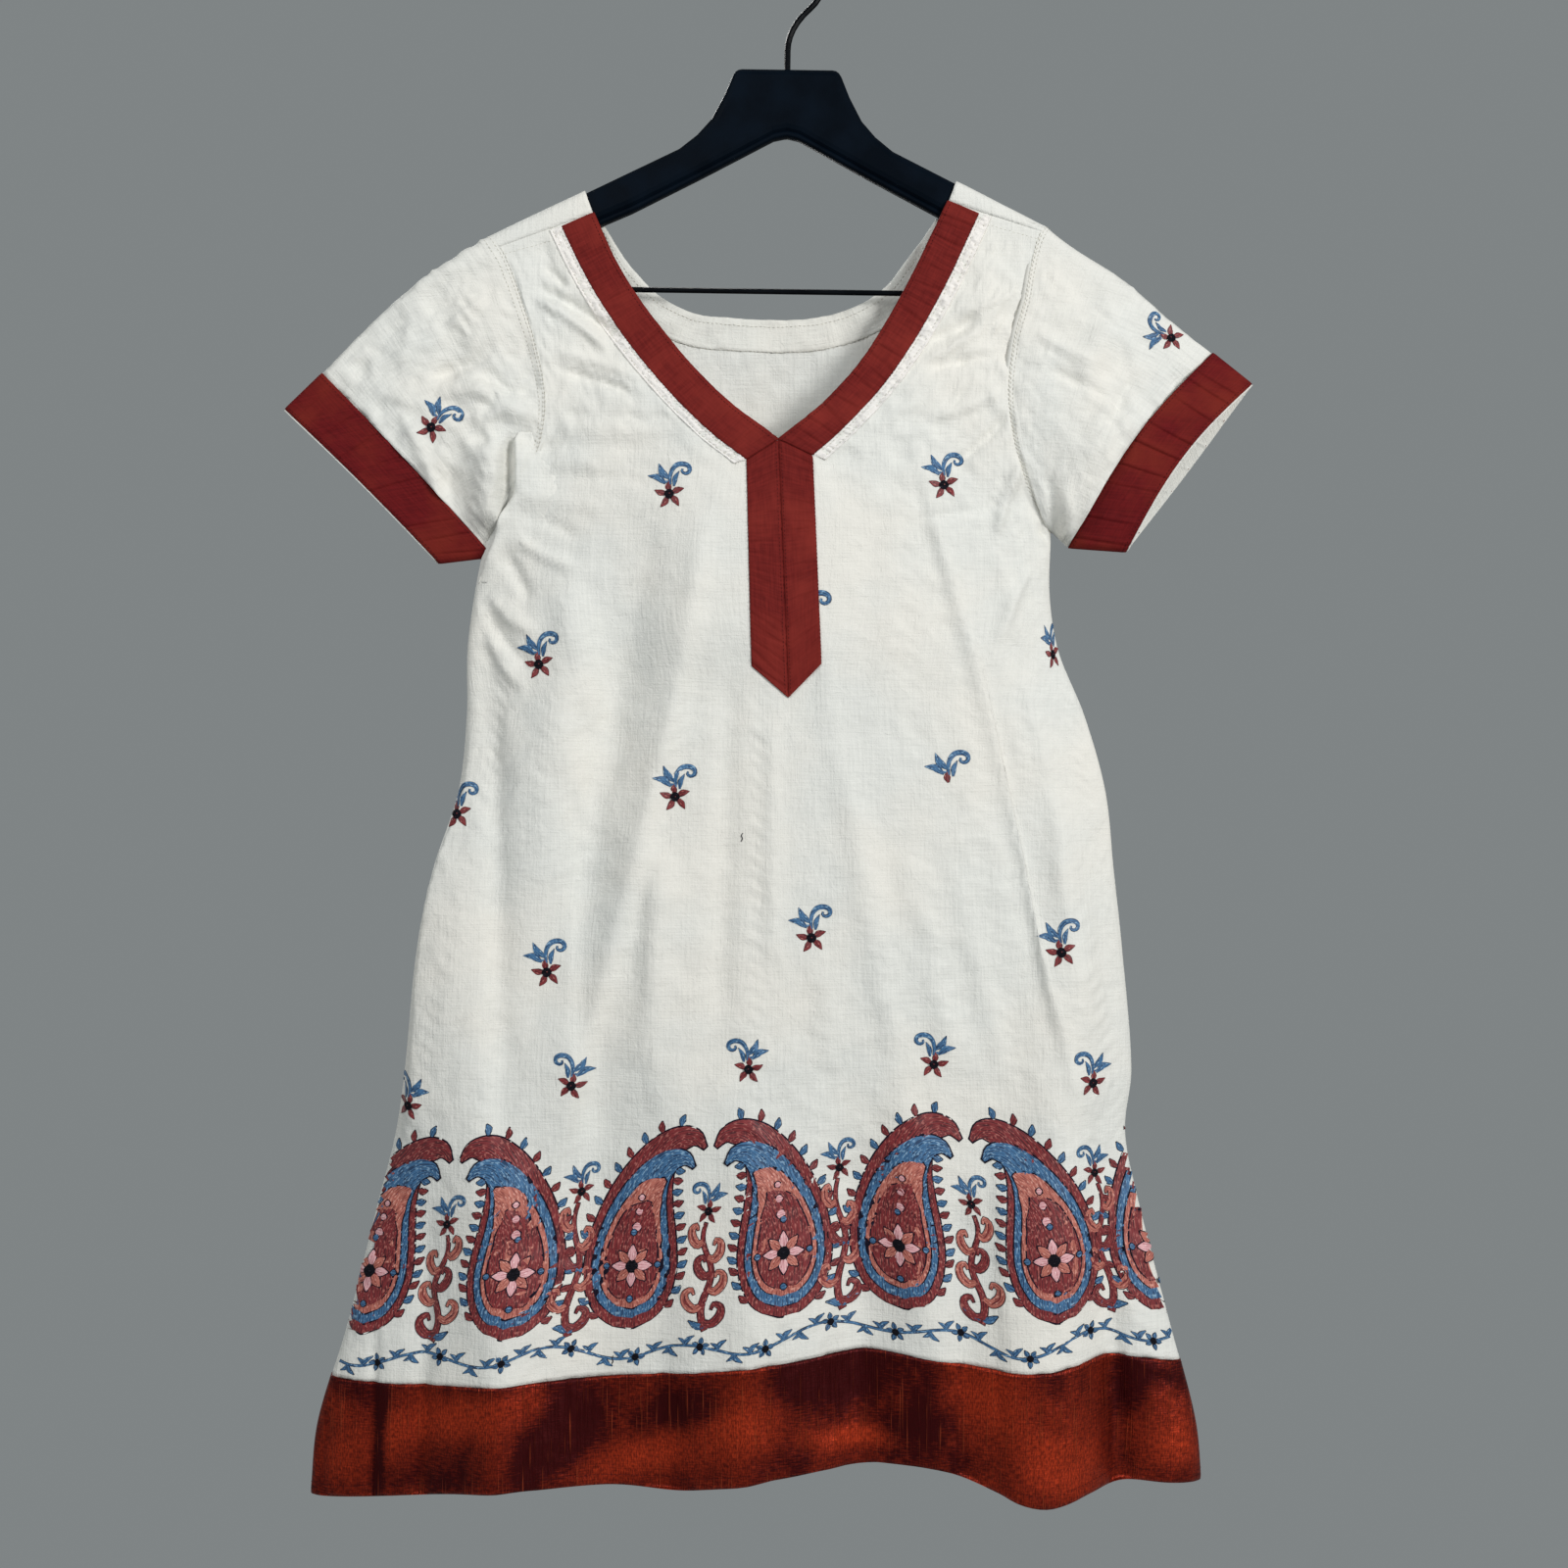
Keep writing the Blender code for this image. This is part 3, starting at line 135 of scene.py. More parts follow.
# Creases laid over the folds: x and z of both ends, half width left and right, height (below zero a trough)
# and bend. A line that runs past the hem doesn't fade there.
CREASES = {
    "front": (
        (-56, -285, -54, -540, 72, 110, 6.5, 0), (-44, -378, -175, -900, 30, 6, 6.0, 10),
        (-160, -470, -150, -900, 32, 14, 6.4, 0), (81, -310, 218, -870, 5, 26, 4.6, 0),
        (120, -420, 198, -800, 19, 19, 4.6, 0), (-40, -485, -46, -800, 8, 9, -1.7, 2),
        (-8, -525, -8, -745, 6, 7, 1.3, 0), (24, -465, 46, -640, 7, 8, 1.0, -2),
        (42, -565, 82, -810, 8, 10, 1.7, -3), (84, -630, 122, -810, 8, 10, 1.5, 0),
        (116, -645, 158, -810, 8, 9, 1.4, 0), (-84, -630, -106, -810, 7, 10, 1.6, 2),
        (-92, -620, -86, -860, 8, 28, 2.0, 0), (176, -540, 198, -700, 6, 8, 1.5, 3),
        (148, -425, 168, -505, 6, 6, 1.3, 0), (168, -515, 178, -565, 5, 6, 1.1, 0),
        (190, -590, 212, -775, 8, 14, 1.8, 0), (-211, -458, -170, -492, 4, 5, 1.1, -3),
        (-212, -470, -176, -516, 4, 6, -1.0, -3), (-212, -482, -182, -530, 4, 6, 0.9, -3),
        (-207, -480, -194, -900, 9, 9, -2.2, 0), (-243, -530, -262, -900, 11, 28, 6.5, 0),
        (-155, -450, -128, -560, 8, 12, 1.4, -3), (-150, -560, -140, -660, 6, 7, 0.9, 2),
        (48, -780, 56, -1250, 12, 14, -1.5, 2), (82, -780, 100, -1000, 12, 12, 1.5, -3),
        (-27, -780, -32, -1250, 12, 13, 1.6, 3), (-190, -780, -208, -1250, 17, 12, 2.2, 2),
        (-90, -800, -78, -1250, 14, 14, -2.2, 0), (118, -800, 134, -1250, 14, 10, -2.4, 2),
        (150, -790, 168, -1250, 8, 17, 2.2, 0), (228, -860, 246, -1250, 8, 8, -2.0, 0),
        (-250, -880, -264, -1250, 7, 7, -1.8, 2), (-60, -400, -64, -470, 7, 8, 0.8, 2),
        (62, -390, 58, -540, 8, 10, -0.8, 0), (20, -700, 34, -800, 8, 10, 1.0, 2),
        (-181, -240, -110, -284, 3.5, 4, -1.6, 3), (-180, -250, -120, -292, 3, 4, 1.5, 3),
        (-172, -226, -150, -246, 3, 3, -1.1, 0), (-166, -288, -96, -312, 3, 2.5, 1.1, 2),
        (-165, -300, -100, -323, 3, 2.5, -1.5, 2), (-172, -331, -60, -339, 3, 3, -0.7, -2),
        (-170, -340, -64, -349, 3, 3, 0.5, -2), (-180, -356, -92, -362, 3, 3.5, -0.7, 3),
        (-186, -367, -120, -374, 3, 3, 0.6, 3), (-188, -378, -86, -384, 3, 3, -0.6, 2),
        (-190, -390, -120, -402, 4, 3, 0.7, 0), (-192, -402, -140, -424, 4, 3, -0.9, 3),
        (-196, -416, -140, -446, 3, 3, 1.2, -3), (-150, -232, -160, -262, 3, 3, 0.8, 0),
        (140, -262, 98, -282, 3.5, 4, -1.5, 2), (142, -272, 96, -296, 3, 3, 1.2, 2),
        (163, -248, 116, -262, 2.5, 3, 0.9, 2), (160, -292, 96, -304, 3, 2.5, -1.1, -2),
        (158, -316, 98, -338, 3, 3, 1.2, 2), (162, -330, 116, -372, 3.5, 3.5, -1.5, 2),
        (174, -360, 148, -424, 4, 3, 1.7, -3), (168, -390, 88, -410, 3, 3, -0.9, 3),
        (170, -350, 187, -402, 3, 3, -1.8, -2), (180, -409, 197, -428, 2.5, 3, -1.8, 0),
        (-193, -346, -191, -396, 2.2, 4, -3.0, 2), (-196, -392, -204, -418, 3, 3, 2.0, 0),
        (-204, -425, -178, -470, 5, 4, -1.3, 3), (176, -440, 150, -500, 5, 4, 1.2, -3),
        (-289, -940, -293, -1250, 3.5, 4.5, -0.9, 0)),
    "back": (
        (-96, -430, -132, -700, 10, 14, -2.0, 4), (-120, -640, -150, -1250, 12, 10, 1.6, 0),
        (60, -440, 84, -760, 9, 13, -1.9, -3), (120, -560, 150, -1250, 14, 10, 1.8, 2),
        (-30, -520, -42, -1250, 12, 12, 1.2, 3), (20, -620, 30, -1250, 12, 14, -1.3, 0),
        (-200, -620, -236, -1250, 12, 12, 1.6, 0), (190, -600, 232, -1250, 12, 12, -1.5, 2),
        (-166, -300, -92, -330, 3, 3, 0.8, 2), (-168, -330, -80, -392, 3.5, 3, -1.0, 3),
        (-184, -360, -130, -440, 4, 4, 1.1, 2), (-160, -270, -100, -280, 3, 2.5, -0.6, 0),
        (162, -296, 90, -322, 3, 3, 0.7, -2), (162, -330, 84, -396, 3.5, 3, -1.0, -3),
        (176, -362, 128, -446, 4, 4, 1.1, 0), (-30, -300, -36, -460, 9, 9, 0.9, 2),
        (40, -310, 30, -470, 9, 8, -0.8, 0), (-260, -880, -276, -1250, 8, 8, -1.2, 0)),
    "sleeve_front": (
        (-193.5, -346, -195, -400, 2.6, 2.6, -1.3, 0), (-200, -348, -206, -418, 15, 4, 4.0, 0),
        (-222, -298, -172, -322, 4, 5, -1.3, -4), (-218, -310, -176, -334, 5, 6, 1.2, -4),
        (-195, -342, -203, -426, 8, 5, -1.6, 2), (-212, -348, -219, -424, 10, 8, 1.2, 2),
        (-228, -340, -172, -338, 4.5, 6, 1.0, 6), (248, -318, 216, -432, 34, 9, 6.0, 0),
        (228, -335, 213, -440, 27, 12, 4.6, 0), (-300, -288, -240, -384, 12, 10, 1.6, 6),
        (-252, -236, -228, -310, 10, 9, -1.4, 3), (-246, -320, -200, -326, 4, 6, 1.2, 5),
        (-240, -352, -236, -402, 5, 6, -0.8, 2), (-246, -352, -248, -400, 5, 5, 0.8, 0),
        (-330, -312, -262, -404, 8, 8, -1.1, -4), (-206, -290, -256, -306, 4, 4, -1.2, 2),
        (-222, -262, -290, -300, 6, 6, 1.1, 3), (-208, -250, -240, -272, 3, 4, 0.9, 0),
        (-270, -330, -240, -404, 5, 4, 1.2, 2), (186, -372, 197, -424, 3, 4, -1.0, -2),
        (194, -378, 206, -424, 4, 4, 0.9, 0), (236, -240, 212, -336, 10, 9, 1.3, -3),
        (290, -288, 238, -388, 11, 9, -1.3, 4), (182, -300, 236, -330, 4, 4, -1.3, 2),
        (300, -300, 250, -392, 8, 8, 1.2, -3), (190, -262, 262, -292, 5, 6, 1.0, 2),
        (176, -276, 220, -300, 3, 4, 1.1, 0), (206, -312, 246, -352, 4, 4, 1.0, 3),
        (250, -300, 226, -348, 4, 5, -1.0, 0)),
    "sleeve_back": (
        (-296, -284, -236, -380, 10, 12, -1.1, 5), (-250, -240, -226, -340, 9, 9, 0.9, 3),
        (-212, -336, -226, -408, 4, 5, -1.6, 2), (-222, -270, -288, -312, 5, 6, -0.7, 0),
        (184, -330, 204, -402, 4, 5, -1.6, 0), (238, -244, 214, -340, 10, 9, -0.9, 3),
        (288, -290, 236, -386, 11, 9, 1.0, -4), (190, -270, 256, -306, 5, 6, 0.7, 2)),
}

# How many times its table height a crease is laid: narrow ones, high ones and others
NARROW_HALF = 5.0
HIGH = 2.3
NARROW_GAIN = 3.1
HIGH_GAIN = 1.3
CREASE_GAIN = 1.9
CREASE_END = 0.25
# A crease that is so many times wider on one side slopes straight there
UNEVEN = 3.9
STRAIGHT_HALF = 20.0
# Layers of noise in the fine crinkle: sharp and fine ridges, where they are strong, and broad swells
CRUMPLE_LAYERS = table("size turn", (17, 0.5), (8, -0.4), (60, 0.2), (38, 0.9))
CHEVRON_COLUMN = 21.0
CHEVRON_HEIGHT = 0.5


def mix(a, b, share):
    """Value between two others."""
    return a + (b - a) * share


def smoothstep(value):
    """Soft ramp from 0 to 1."""
    t = np.clip(value, 0.0, 1.0)
    return t * t * (3.0 - 2.0 * t)


def curve_value(keys, values, at):
    """Smooth curve through values given at rising keys, held level past its ends."""
    keys, values = np.asarray(keys, float), np.asarray(values, float)
    at = np.clip(at, keys[0], keys[-1])
    i = np.clip(np.searchsorted(keys, at, side="left") - 1, 0, len(keys) - 2)
    low = np.maximum(np.arange(len(keys)) - 1, 0)
    high = np.minimum(np.arange(len(keys)) + 1, len(keys) - 1)
    slope = (values[high] - values[low]) / (keys[high] - keys[low])
    width = keys[i + 1] - keys[i]
    t = (at - keys[i]) / width
    start = (2 * t ** 3 - 3 * t ** 2 + 1) * values[i] + (t ** 3 - 2 * t ** 2 + t) * width * slope[i]
    end = (3 * t ** 2 - 2 * t ** 3) * values[i + 1] + (t ** 3 - t ** 2) * width * slope[i + 1]
    return start + end


def read(rows, key, column, at):
    """One column of a table at a value of its key column."""
    order = np.argsort(rows[key])
    return curve_value(rows[key][order], rows[column][order], at)


def along(rows, column, share):
    """One column of a table at a share of the way down its rows."""
    last = len(rows[column]) - 1
    return curve_value(np.arange(last + 1), rows[column], np.asarray(share) * last)


def noise(x, z, size, seed, turn=0.0):
    """Smooth lattice noise between -1 and 1."""
    lattice = np.random.RandomState(seed).uniform(-1.0, 1.0, (128, 128))
    c, s = math.cos(turn), math.sin(turn)
    u, v = (x * c + z * s) / size, (z * c - x * s) / size
    i, j = np.floor(u).astype(int), np.floor(v).astype(int)
    fu, fv = u - i, v - j
    fu, fv = (f ** 3 * (f * (6 * f - 15) + 10) for f in (fu, fv))
    low = mix(lattice[i % 128, j % 128], lattice[(i + 1) % 128, j % 128], fu)
    high = mix(lattice[i % 128, (j + 1) % 128], lattice[(i + 1) % 128, (j + 1) % 128], fu)
    return mix(low, high, fv)


def run_length(path):
    """Distance along a path up to each of its points."""
    return np.concatenate([[0.0], np.cumsum(np.linalg.norm(np.diff(path, axis=0), axis=1))])


def sample(field, keys, at):
    """Vectors at places between those that are given at rising keys."""
    return np.stack([np.interp(at, keys, field[:, k]) for k in range(3)], -1)


def ray(degrees):
    """Direction at an angle in the front view."""
    angle = math.radians(degrees)
    return np.array((math.cos(angle), math.sin(angle)))


def crumple(x, z, seed):
    """Fine crinkle of worn cotton, in millimetres, with faint chevrons in upright columns."""
    layers = enumerate(zip(*CRUMPLE_LAYERS.values()))
    sharp, fine, where, broad = (noise(x, z, size, seed + k, turn) for k, (size, turn) in layers)
    sharp, fine = (0.6 - 2.2 * np.abs(ridges) for ridges in (sharp, fine))
    where = 0.5 + 0.5 * where
    more = 2.3 + 3.0 * smoothstep((z + 430.0) / 90.0)
    column = np.abs((x * (1.0 + 0.0009 * (z + 700.0)) + 10.0) / CHEVRON_COLUMN % 2.0 - 1.0)
    chevron = np.sin((z + 17.0 * column + 3.0 * broad) * 0.57)
    chevron = chevron * smoothstep((column - 0.08) / 0.3) * smoothstep((0.95 - column) / 0.3)
    uneven = 0.36 * broad + (0.06 + 0.30 * where) * sharp + 0.13 * fine
    return more * uneven + CHEVRON_HEIGHT * (0.4 + where) * chevron


def crease_gain(narrow, height):
    """How many times its table height a crease is laid."""
    if narrow < NARROW_HALF:
        return NARROW_GAIN
    return HIGH_GAIN if abs(height) > HIGH else CREASE_GAIN


def crease_field(rows, x, z):
    """Sum of the creases at places of the front view."""
    total = np.zeros_like(x)
    for x1, z1, x2, z2, left, right, height, bend in rows:
        dx, dz = x2 - x1, z2 - z1
        length = math.hypot(dx, dz)
        t = ((x - x1) * dx + (z - z1) * dz) / length ** 2
        off = ((z - z1) * dx - (x - x1) * dz) / length - bend * np.sin(np.pi * np.clip(t, 0, 1))
        half = np.where(off < 0, left, right)
        shape = np.exp(-(off / half) ** 2)
        if max(left, right) > UNEVEN * min(left, right):
            straight = np.clip(1.0 - np.abs(off) / (1.5 * half), 0.0, 1.0) ** 1.5
            shape = np.where(half > STRAIGHT_HALF, straight, shape)
        strong = height * crease_gain(min(left, right), height)
        total += strong * smoothstep(t / CREASE_END) * smoothstep((1 - t) / CREASE_END) * shape
    return total


def ridge_z(x):
    """Height of the shoulder ridge, inside of the cloth."""
    tilt = np.where(x > RIDGE_APEX[0], HANGER_TILT, -HANGER_TILT)
    return RIDGE_APEX[1] - np.abs(x - RIDGE_APEX[0]) * np.tan(np.radians(ARM_SLOPE + tilt))


def body_x(side, z):
    """Inside of the cloth at the side seam."""
    return read(BODY, "z", side, z) - SIGN[side] * WALL


def armhole_point(side, drop):
    """Place of the armhole seam in the front view."""
    x = read(ARMHOLE, "drop", side, drop)
    return np.stack([x, ridge_z(x) - drop], -1)


def fold_swell(folds, x, z):
    """Sum of the large folds at places of the front view."""
    total = np.zeros_like(x)
    for top_x, top_z, low_x, low_z, top_half, low_half, swell, to_hem in folds:
        down = (top_z - z) / (top_z - low_z)
        inside = np.clip(down, 0.0, 1.0)
        grown = smoothstep(down / 0.6) if to_hem else np.sin(np.pi * inside) ** 0.7
        middle = mix(top_x, low_x, down)
        total += swell * grown * np.exp(-((x - middle) / mix(top_half, low_half, inside)) ** 2)
    return total


def panel_depth(face, edge, rough, x, z, across):
    """Distance from the hanger's plane to the inside of a panel."""
    drop = np.maximum(0.0, ridge_z(x) - z)
    full = (1.0 - (1.0 - across) ** 2) ** rough
    hang = mix(edge, read(DEPTH, "z", face, z), full) - RIDGE_RADIUS
    folds = fold_swell(FOLDS[face], x, z) * smoothstep(across / SIDE_FADE)
    left = np.maximum(0.0, 1.0 - drop / RIDGE_DROP)
    round_top = RIDGE_RADIUS * np.sqrt(1.0 - left * left)
    return np.maximum(0.15, round_top + smoothstep((drop - RIDGE_DROP) / LOOSEN) * (hang + folds))


def spread(outer, band, inner, side_columns, band_columns):
    """Points of rows from their outer edge over the band line to their inner edge."""
    wide = np.linalg.norm(outer - band, axis=1)[:, None]
    narrow = np.linalg.norm(band - inner, axis=1)[:, None]
    share = wide / (wide + narrow)
    i = np.arange(side_columns + 1)[None] / side_columns
    near = 1.0 - np.cos(np.arccos(1.0 - share) * i)
    k = np.arange(1, band_columns + 1)[None] / band_columns
    first = mix(outer[:, None], band[:, None], (near / share)[..., None])
    second = mix(band[:, None], inner[:, None], k[..., None])
    margin = np.concatenate([wide * (1.0 - near / share), 0.0 * k * share], 1)
    return np.concatenate([first, second], 1), np.concatenate([near, mix(share, 1.0, k)], 1), margin


def hem_z(face, column, x):
    """Height of the hem band's seam or of the hem."""
    return read(HEM, "x", face + "_" + column, x)


def straight_z(outer, band, inner, x):
    """Height of a straight row, which bends only at its band line."""
    far = np.abs(x) >= np.abs(band[:, :1])
    start_x, end_x = np.where(far, outer[:, :1], band[:, :1]), np.where(far, band[:, :1], inner[:, :1])
    start_z, end_z = np.where(far, outer[:, 1:], band[:, 1:]), np.where(far, band[:, 1:], inner[:, 1:])
    return mix(start_z, end_z, (x - start_x) / (end_x - start_x))


def point(x, z):
    """Pairs from single values or arrays: places in the front view, or on a cloth laid flat."""
    return np.stack(np.broadcast_arrays(np.asarray(x, float), np.asarray(z, float)), -1)


def hem_corner(face, side, column):
    """Where a hem line meets the side seam."""
    z = HEM[face + "_" + column][0 if side == "left" else -1]
    return point(body_x(side, z), z)


class Rows:
    """Rows of a half panel, with what its depth needs."""

    def __init__(self, outer, band, inner, edge=0.0, rough=0.5, warp=None):
        count = len(outer)
        self.outer, self.band, self.inner = outer, band, inner
        self.edge = np.broadcast_to(np.asarray(edge, float), (count,))[:, None]
        self.rough = np.broadcast_to(np.asarray(rough, float), (count,))[:, None]
        self.warp = warp or (lambda x: 0.0 * x)


def seam_warp(face, outer, band, inner, strength):
    """Move of straight rows that lays them along the hem band's seam."""
    return lambda x: (hem_z(face, "seam", x) - straight_z(outer, band, inner, x)) * strength


def front_skirt(side, share):
    """Rows between the hem band's seam and the foot of the placket."""
    low_outer = hem_corner("front", side, "seam")[None]
    band_x = SIGN[side] * PLACKET_HALF
    low_band = point(band_x, hem_z("front", "seam", band_x))[None]
    low_inner = point(0.0, hem_z("front", "seam", 0.0))[None]
    z = mix(low_outer[0, 1], PLACKET_FOOT_SIDE_Z, share)
    up = share[:, None]
    band = mix(low_band, np.array(PLACKET_CORNER[side]), up)
    inner = mix(low_inner, np.array(PLACKET_TIP), up)
    return Rows(point(body_x(side, z), z), band, inner,
                warp=seam_warp("front", low_outer, low_band, low_inner, (1.0 - up) ** 2))


def front_placket(side, share):
    """Rows between the foot of the placket and the point of the V."""
    armpit = armhole_point(side, ARMPIT_DROP)
    z = mix(PLACKET_FOOT_SIDE_Z, armpit[1], share)
    x = np.where(share < 1.0, body_x(side, z), armpit[0])
    mitre = np.array((NECK[side + "_out_x"][-1], NECK[side + "_out_z"][-1]))
    vee = np.array((NECK["left_in_x"][-1], NECK["left_in_z"][-1]))
    return Rows(point(x, z), mix(np.array(PLACKET_CORNER[side]), mitre, share[:, None]),
                mix(np.array(PLACKET_TIP), vee, share[:, None]))


def front_neck(side, share):
    """Rows between the armhole and the neck edge."""
    drop = mix(ARMPIT_DROP, SEAM_DROP_OUTER[side], share)
    band, inner = (point(*(along(NECK, side + part + axis, 1.0 - share) for axis in "xz"))
                   for part in ("_out_", "_in_"))
    return Rows(armhole_point(side, drop), band, inner, read(ARMHOLE, "drop", "depth", drop),
                mix(0.5, 1.0, smoothstep(share / ARMPIT_ROUND)))


def back_skirt(side, share):
    """Rows of the back from the hem band's seam to the armpit."""
    low_outer = hem_corner("back", side, "seam")[None]
    low_inner = point(0.0, hem_z("back", "seam", 0.0))[None]
    low_band = mix(low_inner, low_outer, PLACKET_HALF / np.linalg.norm(low_outer - low_inner))
    z = mix(low_outer[0, 1], armhole_point(side, ARMPIT_DROP)[1], share)
    up = share[:, None]
    inner = mix(low_inner, np.array((CENTRE_X, BACK_ARMPIT_CENTRE_Z)), up)
    outer = point(body_x(side, z), z)
    return Rows(outer, back_band(outer, inner), inner,
                warp=seam_warp("back", low_outer, low_band, low_inner, (1.0 - up) ** 2))


def back_band(outer, inner):
    """Line as far from the middle as the placket's edge."""
    return mix(inner, outer, (PLACKET_HALF / np.linalg.norm(outer - inner, axis=1))[:, None])


def back_upper(side, share):
    """Rows of the back beside the armhole; share runs from the armpit to the arm of the hanger."""
    drop = mix(ARMPIT_DROP, RIDGE_DROP, share)
    yoke = np.clip(share * 2.0, 0.0, 1.0)
    neck = np.clip(share * 2.0 - 1.0, 0.0, 1.0)
    below = point(CENTRE_X, mix(BACK_ARMPIT_CENTRE_Z, BACK_NECK_BOTTOM_Z, yoke))
    edge = point(along(BACK_NECK, side + "_x", neck), along(BACK_NECK, side + "_z", neck))
    inner = np.where((share < 0.5)[:, None], below, edge)
    outer = armhole_point(side, drop)
    return Rows(outer, back_band(outer, inner), inner, read(ARMHOLE, "drop", "depth", drop),
                mix(0.5, 1.0, smoothstep(share / ARMPIT_ROUND)))


def hem_rows(face, side, share):
    """Rows of half a hem band, from the hem up to the seam."""
    outer = mix(hem_corner(face, side, "hem"), hem_corner(face, side, "seam"), share[:, None])
    middle = point(0.0, mix(hem_z(face, "hem", 0.0), hem_z(face, "seam", 0.0), share))
    band = back_band(outer, middle)
    outer[:, 0] = body_x(side, outer[:, 1])
    up = share[:, None]

    def warp(x):
        return mix(hem_z(face, "hem", x), hem_z(face, "seam", x), up) - straight_z(outer, band, middle, x)

    return Rows(outer, band, middle, warp=warp)


def inside_points(face, rows, side_columns, band_columns):
    """Inside of the cloth for rows of a half panel, its share across, and the distance to the band line."""
    place, across, margin = spread(rows.outer, rows.band, rows.inner, side_columns, band_columns)
    x, z = place[..., 0], place[..., 1]
    z = z + rows.warp(x)
    y = FACE[face] * panel_depth(face, rows.edge, rows.rough, x, z, across)
    return np.stack([x, y, z], -1), across, margin


def cloth_length(drop):
    """Length of cloth from the ridge down to a drop."""
    turned = RIDGE_RADIUS * np.arccos(1.0 - np.minimum(drop, RIDGE_DROP) / RIDGE_DROP)
    return turned + np.maximum(0.0, drop - RIDGE_DROP)


def over_ridge(side, way, across):
    """Inside of the back panel as it turns over the arm, to the shoulder seam in front."""
    behind, on_top, in_front = STRAP_INNER_X[side]
    inner_drop = ridge_z(in_front) - NECK[side + "_in_z"][0]
    end = cloth_length(mix(SEAM_DROP_OUTER[side], inner_drop, across))
    quarter = math.pi / 2 * RIDGE_RADIUS
    length = mix(quarter, -end, way)
    back = length > 0
    turned = np.abs(length) / np.where(back, quarter, end)
    drops = (0.0, RIDGE_DROP, SEAM_DROP_OUTER[side])
    top_x, back_x, seam_x = (armhole_point(side, drop)[0] for drop in drops)
    outer_x = np.where(back, back_x, seam_x)
    x = mix(mix(top_x, outer_x, turned), mix(on_top, np.where(back, behind, in_front), turned), across)
    angle = np.minimum(math.pi / 2, np.abs(length) / RIDGE_RADIUS)
    drop = RIDGE_DROP * (1.0 - np.cos(angle)) + np.maximum(0.0, np.abs(length) - quarter)
    return np.stack([x, np.copysign(RIDGE_RADIUS * np.sin(angle), length), ridge_z(x) - drop], -1)


def outward(points, closed=False):
    """Unit normals of a grid, away from the hanger's plane."""
    step = np.roll(points, -1, 1) - np.roll(points, 1, 1) if closed else np.gradient(points, axis=1)
    normal = np.cross(step, np.gradient(points, axis=0))
    normal /= np.maximum(1e-9, np.linalg.norm(normal, axis=2, keepdims=True))
    return normal * np.sign(np.sum(normal[..., 1] * points[..., 1]))


def unit(vectors):
    """Vectors of length one."""
    return vectors / np.maximum(1e-9, np.linalg.norm(vectors, axis=-1, keepdims=True))


def grid_faces(start, rows, columns, closed=False):
    """Quads of a grid of numbered points."""
    index = start + np.arange(rows * columns).reshape(rows, columns)
    if closed:
        index = np.concatenate([index, index[:, :1]], 1)
    return np.stack([index[:-1, :-1], index[:-1, 1:], index[1:, 1:], index[1:, :-1]], -1).reshape(-1, 4)


def turned(points, faces, way):
    """Faces in the order that has their outer side away from the hanger's plane, or towards it."""
    corners = points[faces]
    across = np.cross(corners[:, 2] - corners[:, 0], corners[:, -1] - corners[:, 1])[:, 1]
    return faces[:, ::-1] if (across * way).sum() < 0 else faces


def build(name, points, faces, uv=None, thickness=0.0, shift=CLOTH_SHIFT, outer=1.0):
    """Mesh object of points in millimetres, with its cloth inward of them."""
    mesh = bpy.data.meshes.new(name)
    points, faces = np.asarray(points, float).reshape(-1, 3), np.asarray(faces)
    if thickness:
        faces = turned(points, faces, outer * points[faces].mean(1)[:, 1])
    points = points + (shift, 0.0, 0.0)
    mesh.from_pydata((points * MM).tolist(), [], faces.tolist())
    if uv is not None:
        layer = mesh.uv_layers.new(name="cloth")
        corners = np.zeros(len(mesh.loops), int)
        mesh.loops.foreach_get("vertex_index", corners)
        layer.data.foreach_set("uv", (np.asarray(uv, float).reshape(-1, 2)[corners] * MM).ravel())
    mesh.shade_smooth()
    piece = bpy.data.objects.new(name, mesh)
    bpy.context.scene.collection.objects.link(piece)
    if thickness:
        wall = piece.modifiers.new("wall", "SOLIDIFY")
        wall.thickness = thickness * MM
        wall.offset = -1.0
    return piece


def build_grid(name, grid, uv=None, thickness=0.0, closed=False, **how):
    """Mesh object of a grid of points."""
    return build(name, grid, grid_faces(0, *grid.shape[:2], closed), uv, thickness, **how)


# Rows and columns of the grids
SKIRT, PLACKET, YOKE, RIDGE = 150, 44, 62, 9
SIDE, MIDDLE = 78, 9
HEM_COUNT = 33
CUFF_FINER = 4
# Column of a tube that its length is measured along
TUBE_LINE = 60
# Thickness of the cloth, inward of its outside
THICK = {"panel": 0.9, "hem": 0.6, "band": 0.3, "margin": 0.1, "sleeve": 0.8, "cuff": 0.4, "lining": 0.3,
         "facing": 0.35, "side_fold": 0.5}
CRUMPLE_SEED = {"front": 3, "back": 31, "hem": 51, "side_fold": 77, "sleeve": 81}
PUCKER_SEED = 11
# Width of the front beside the neck band and the placket that its seam holds calmer
STIFF_MARGIN = 16.0


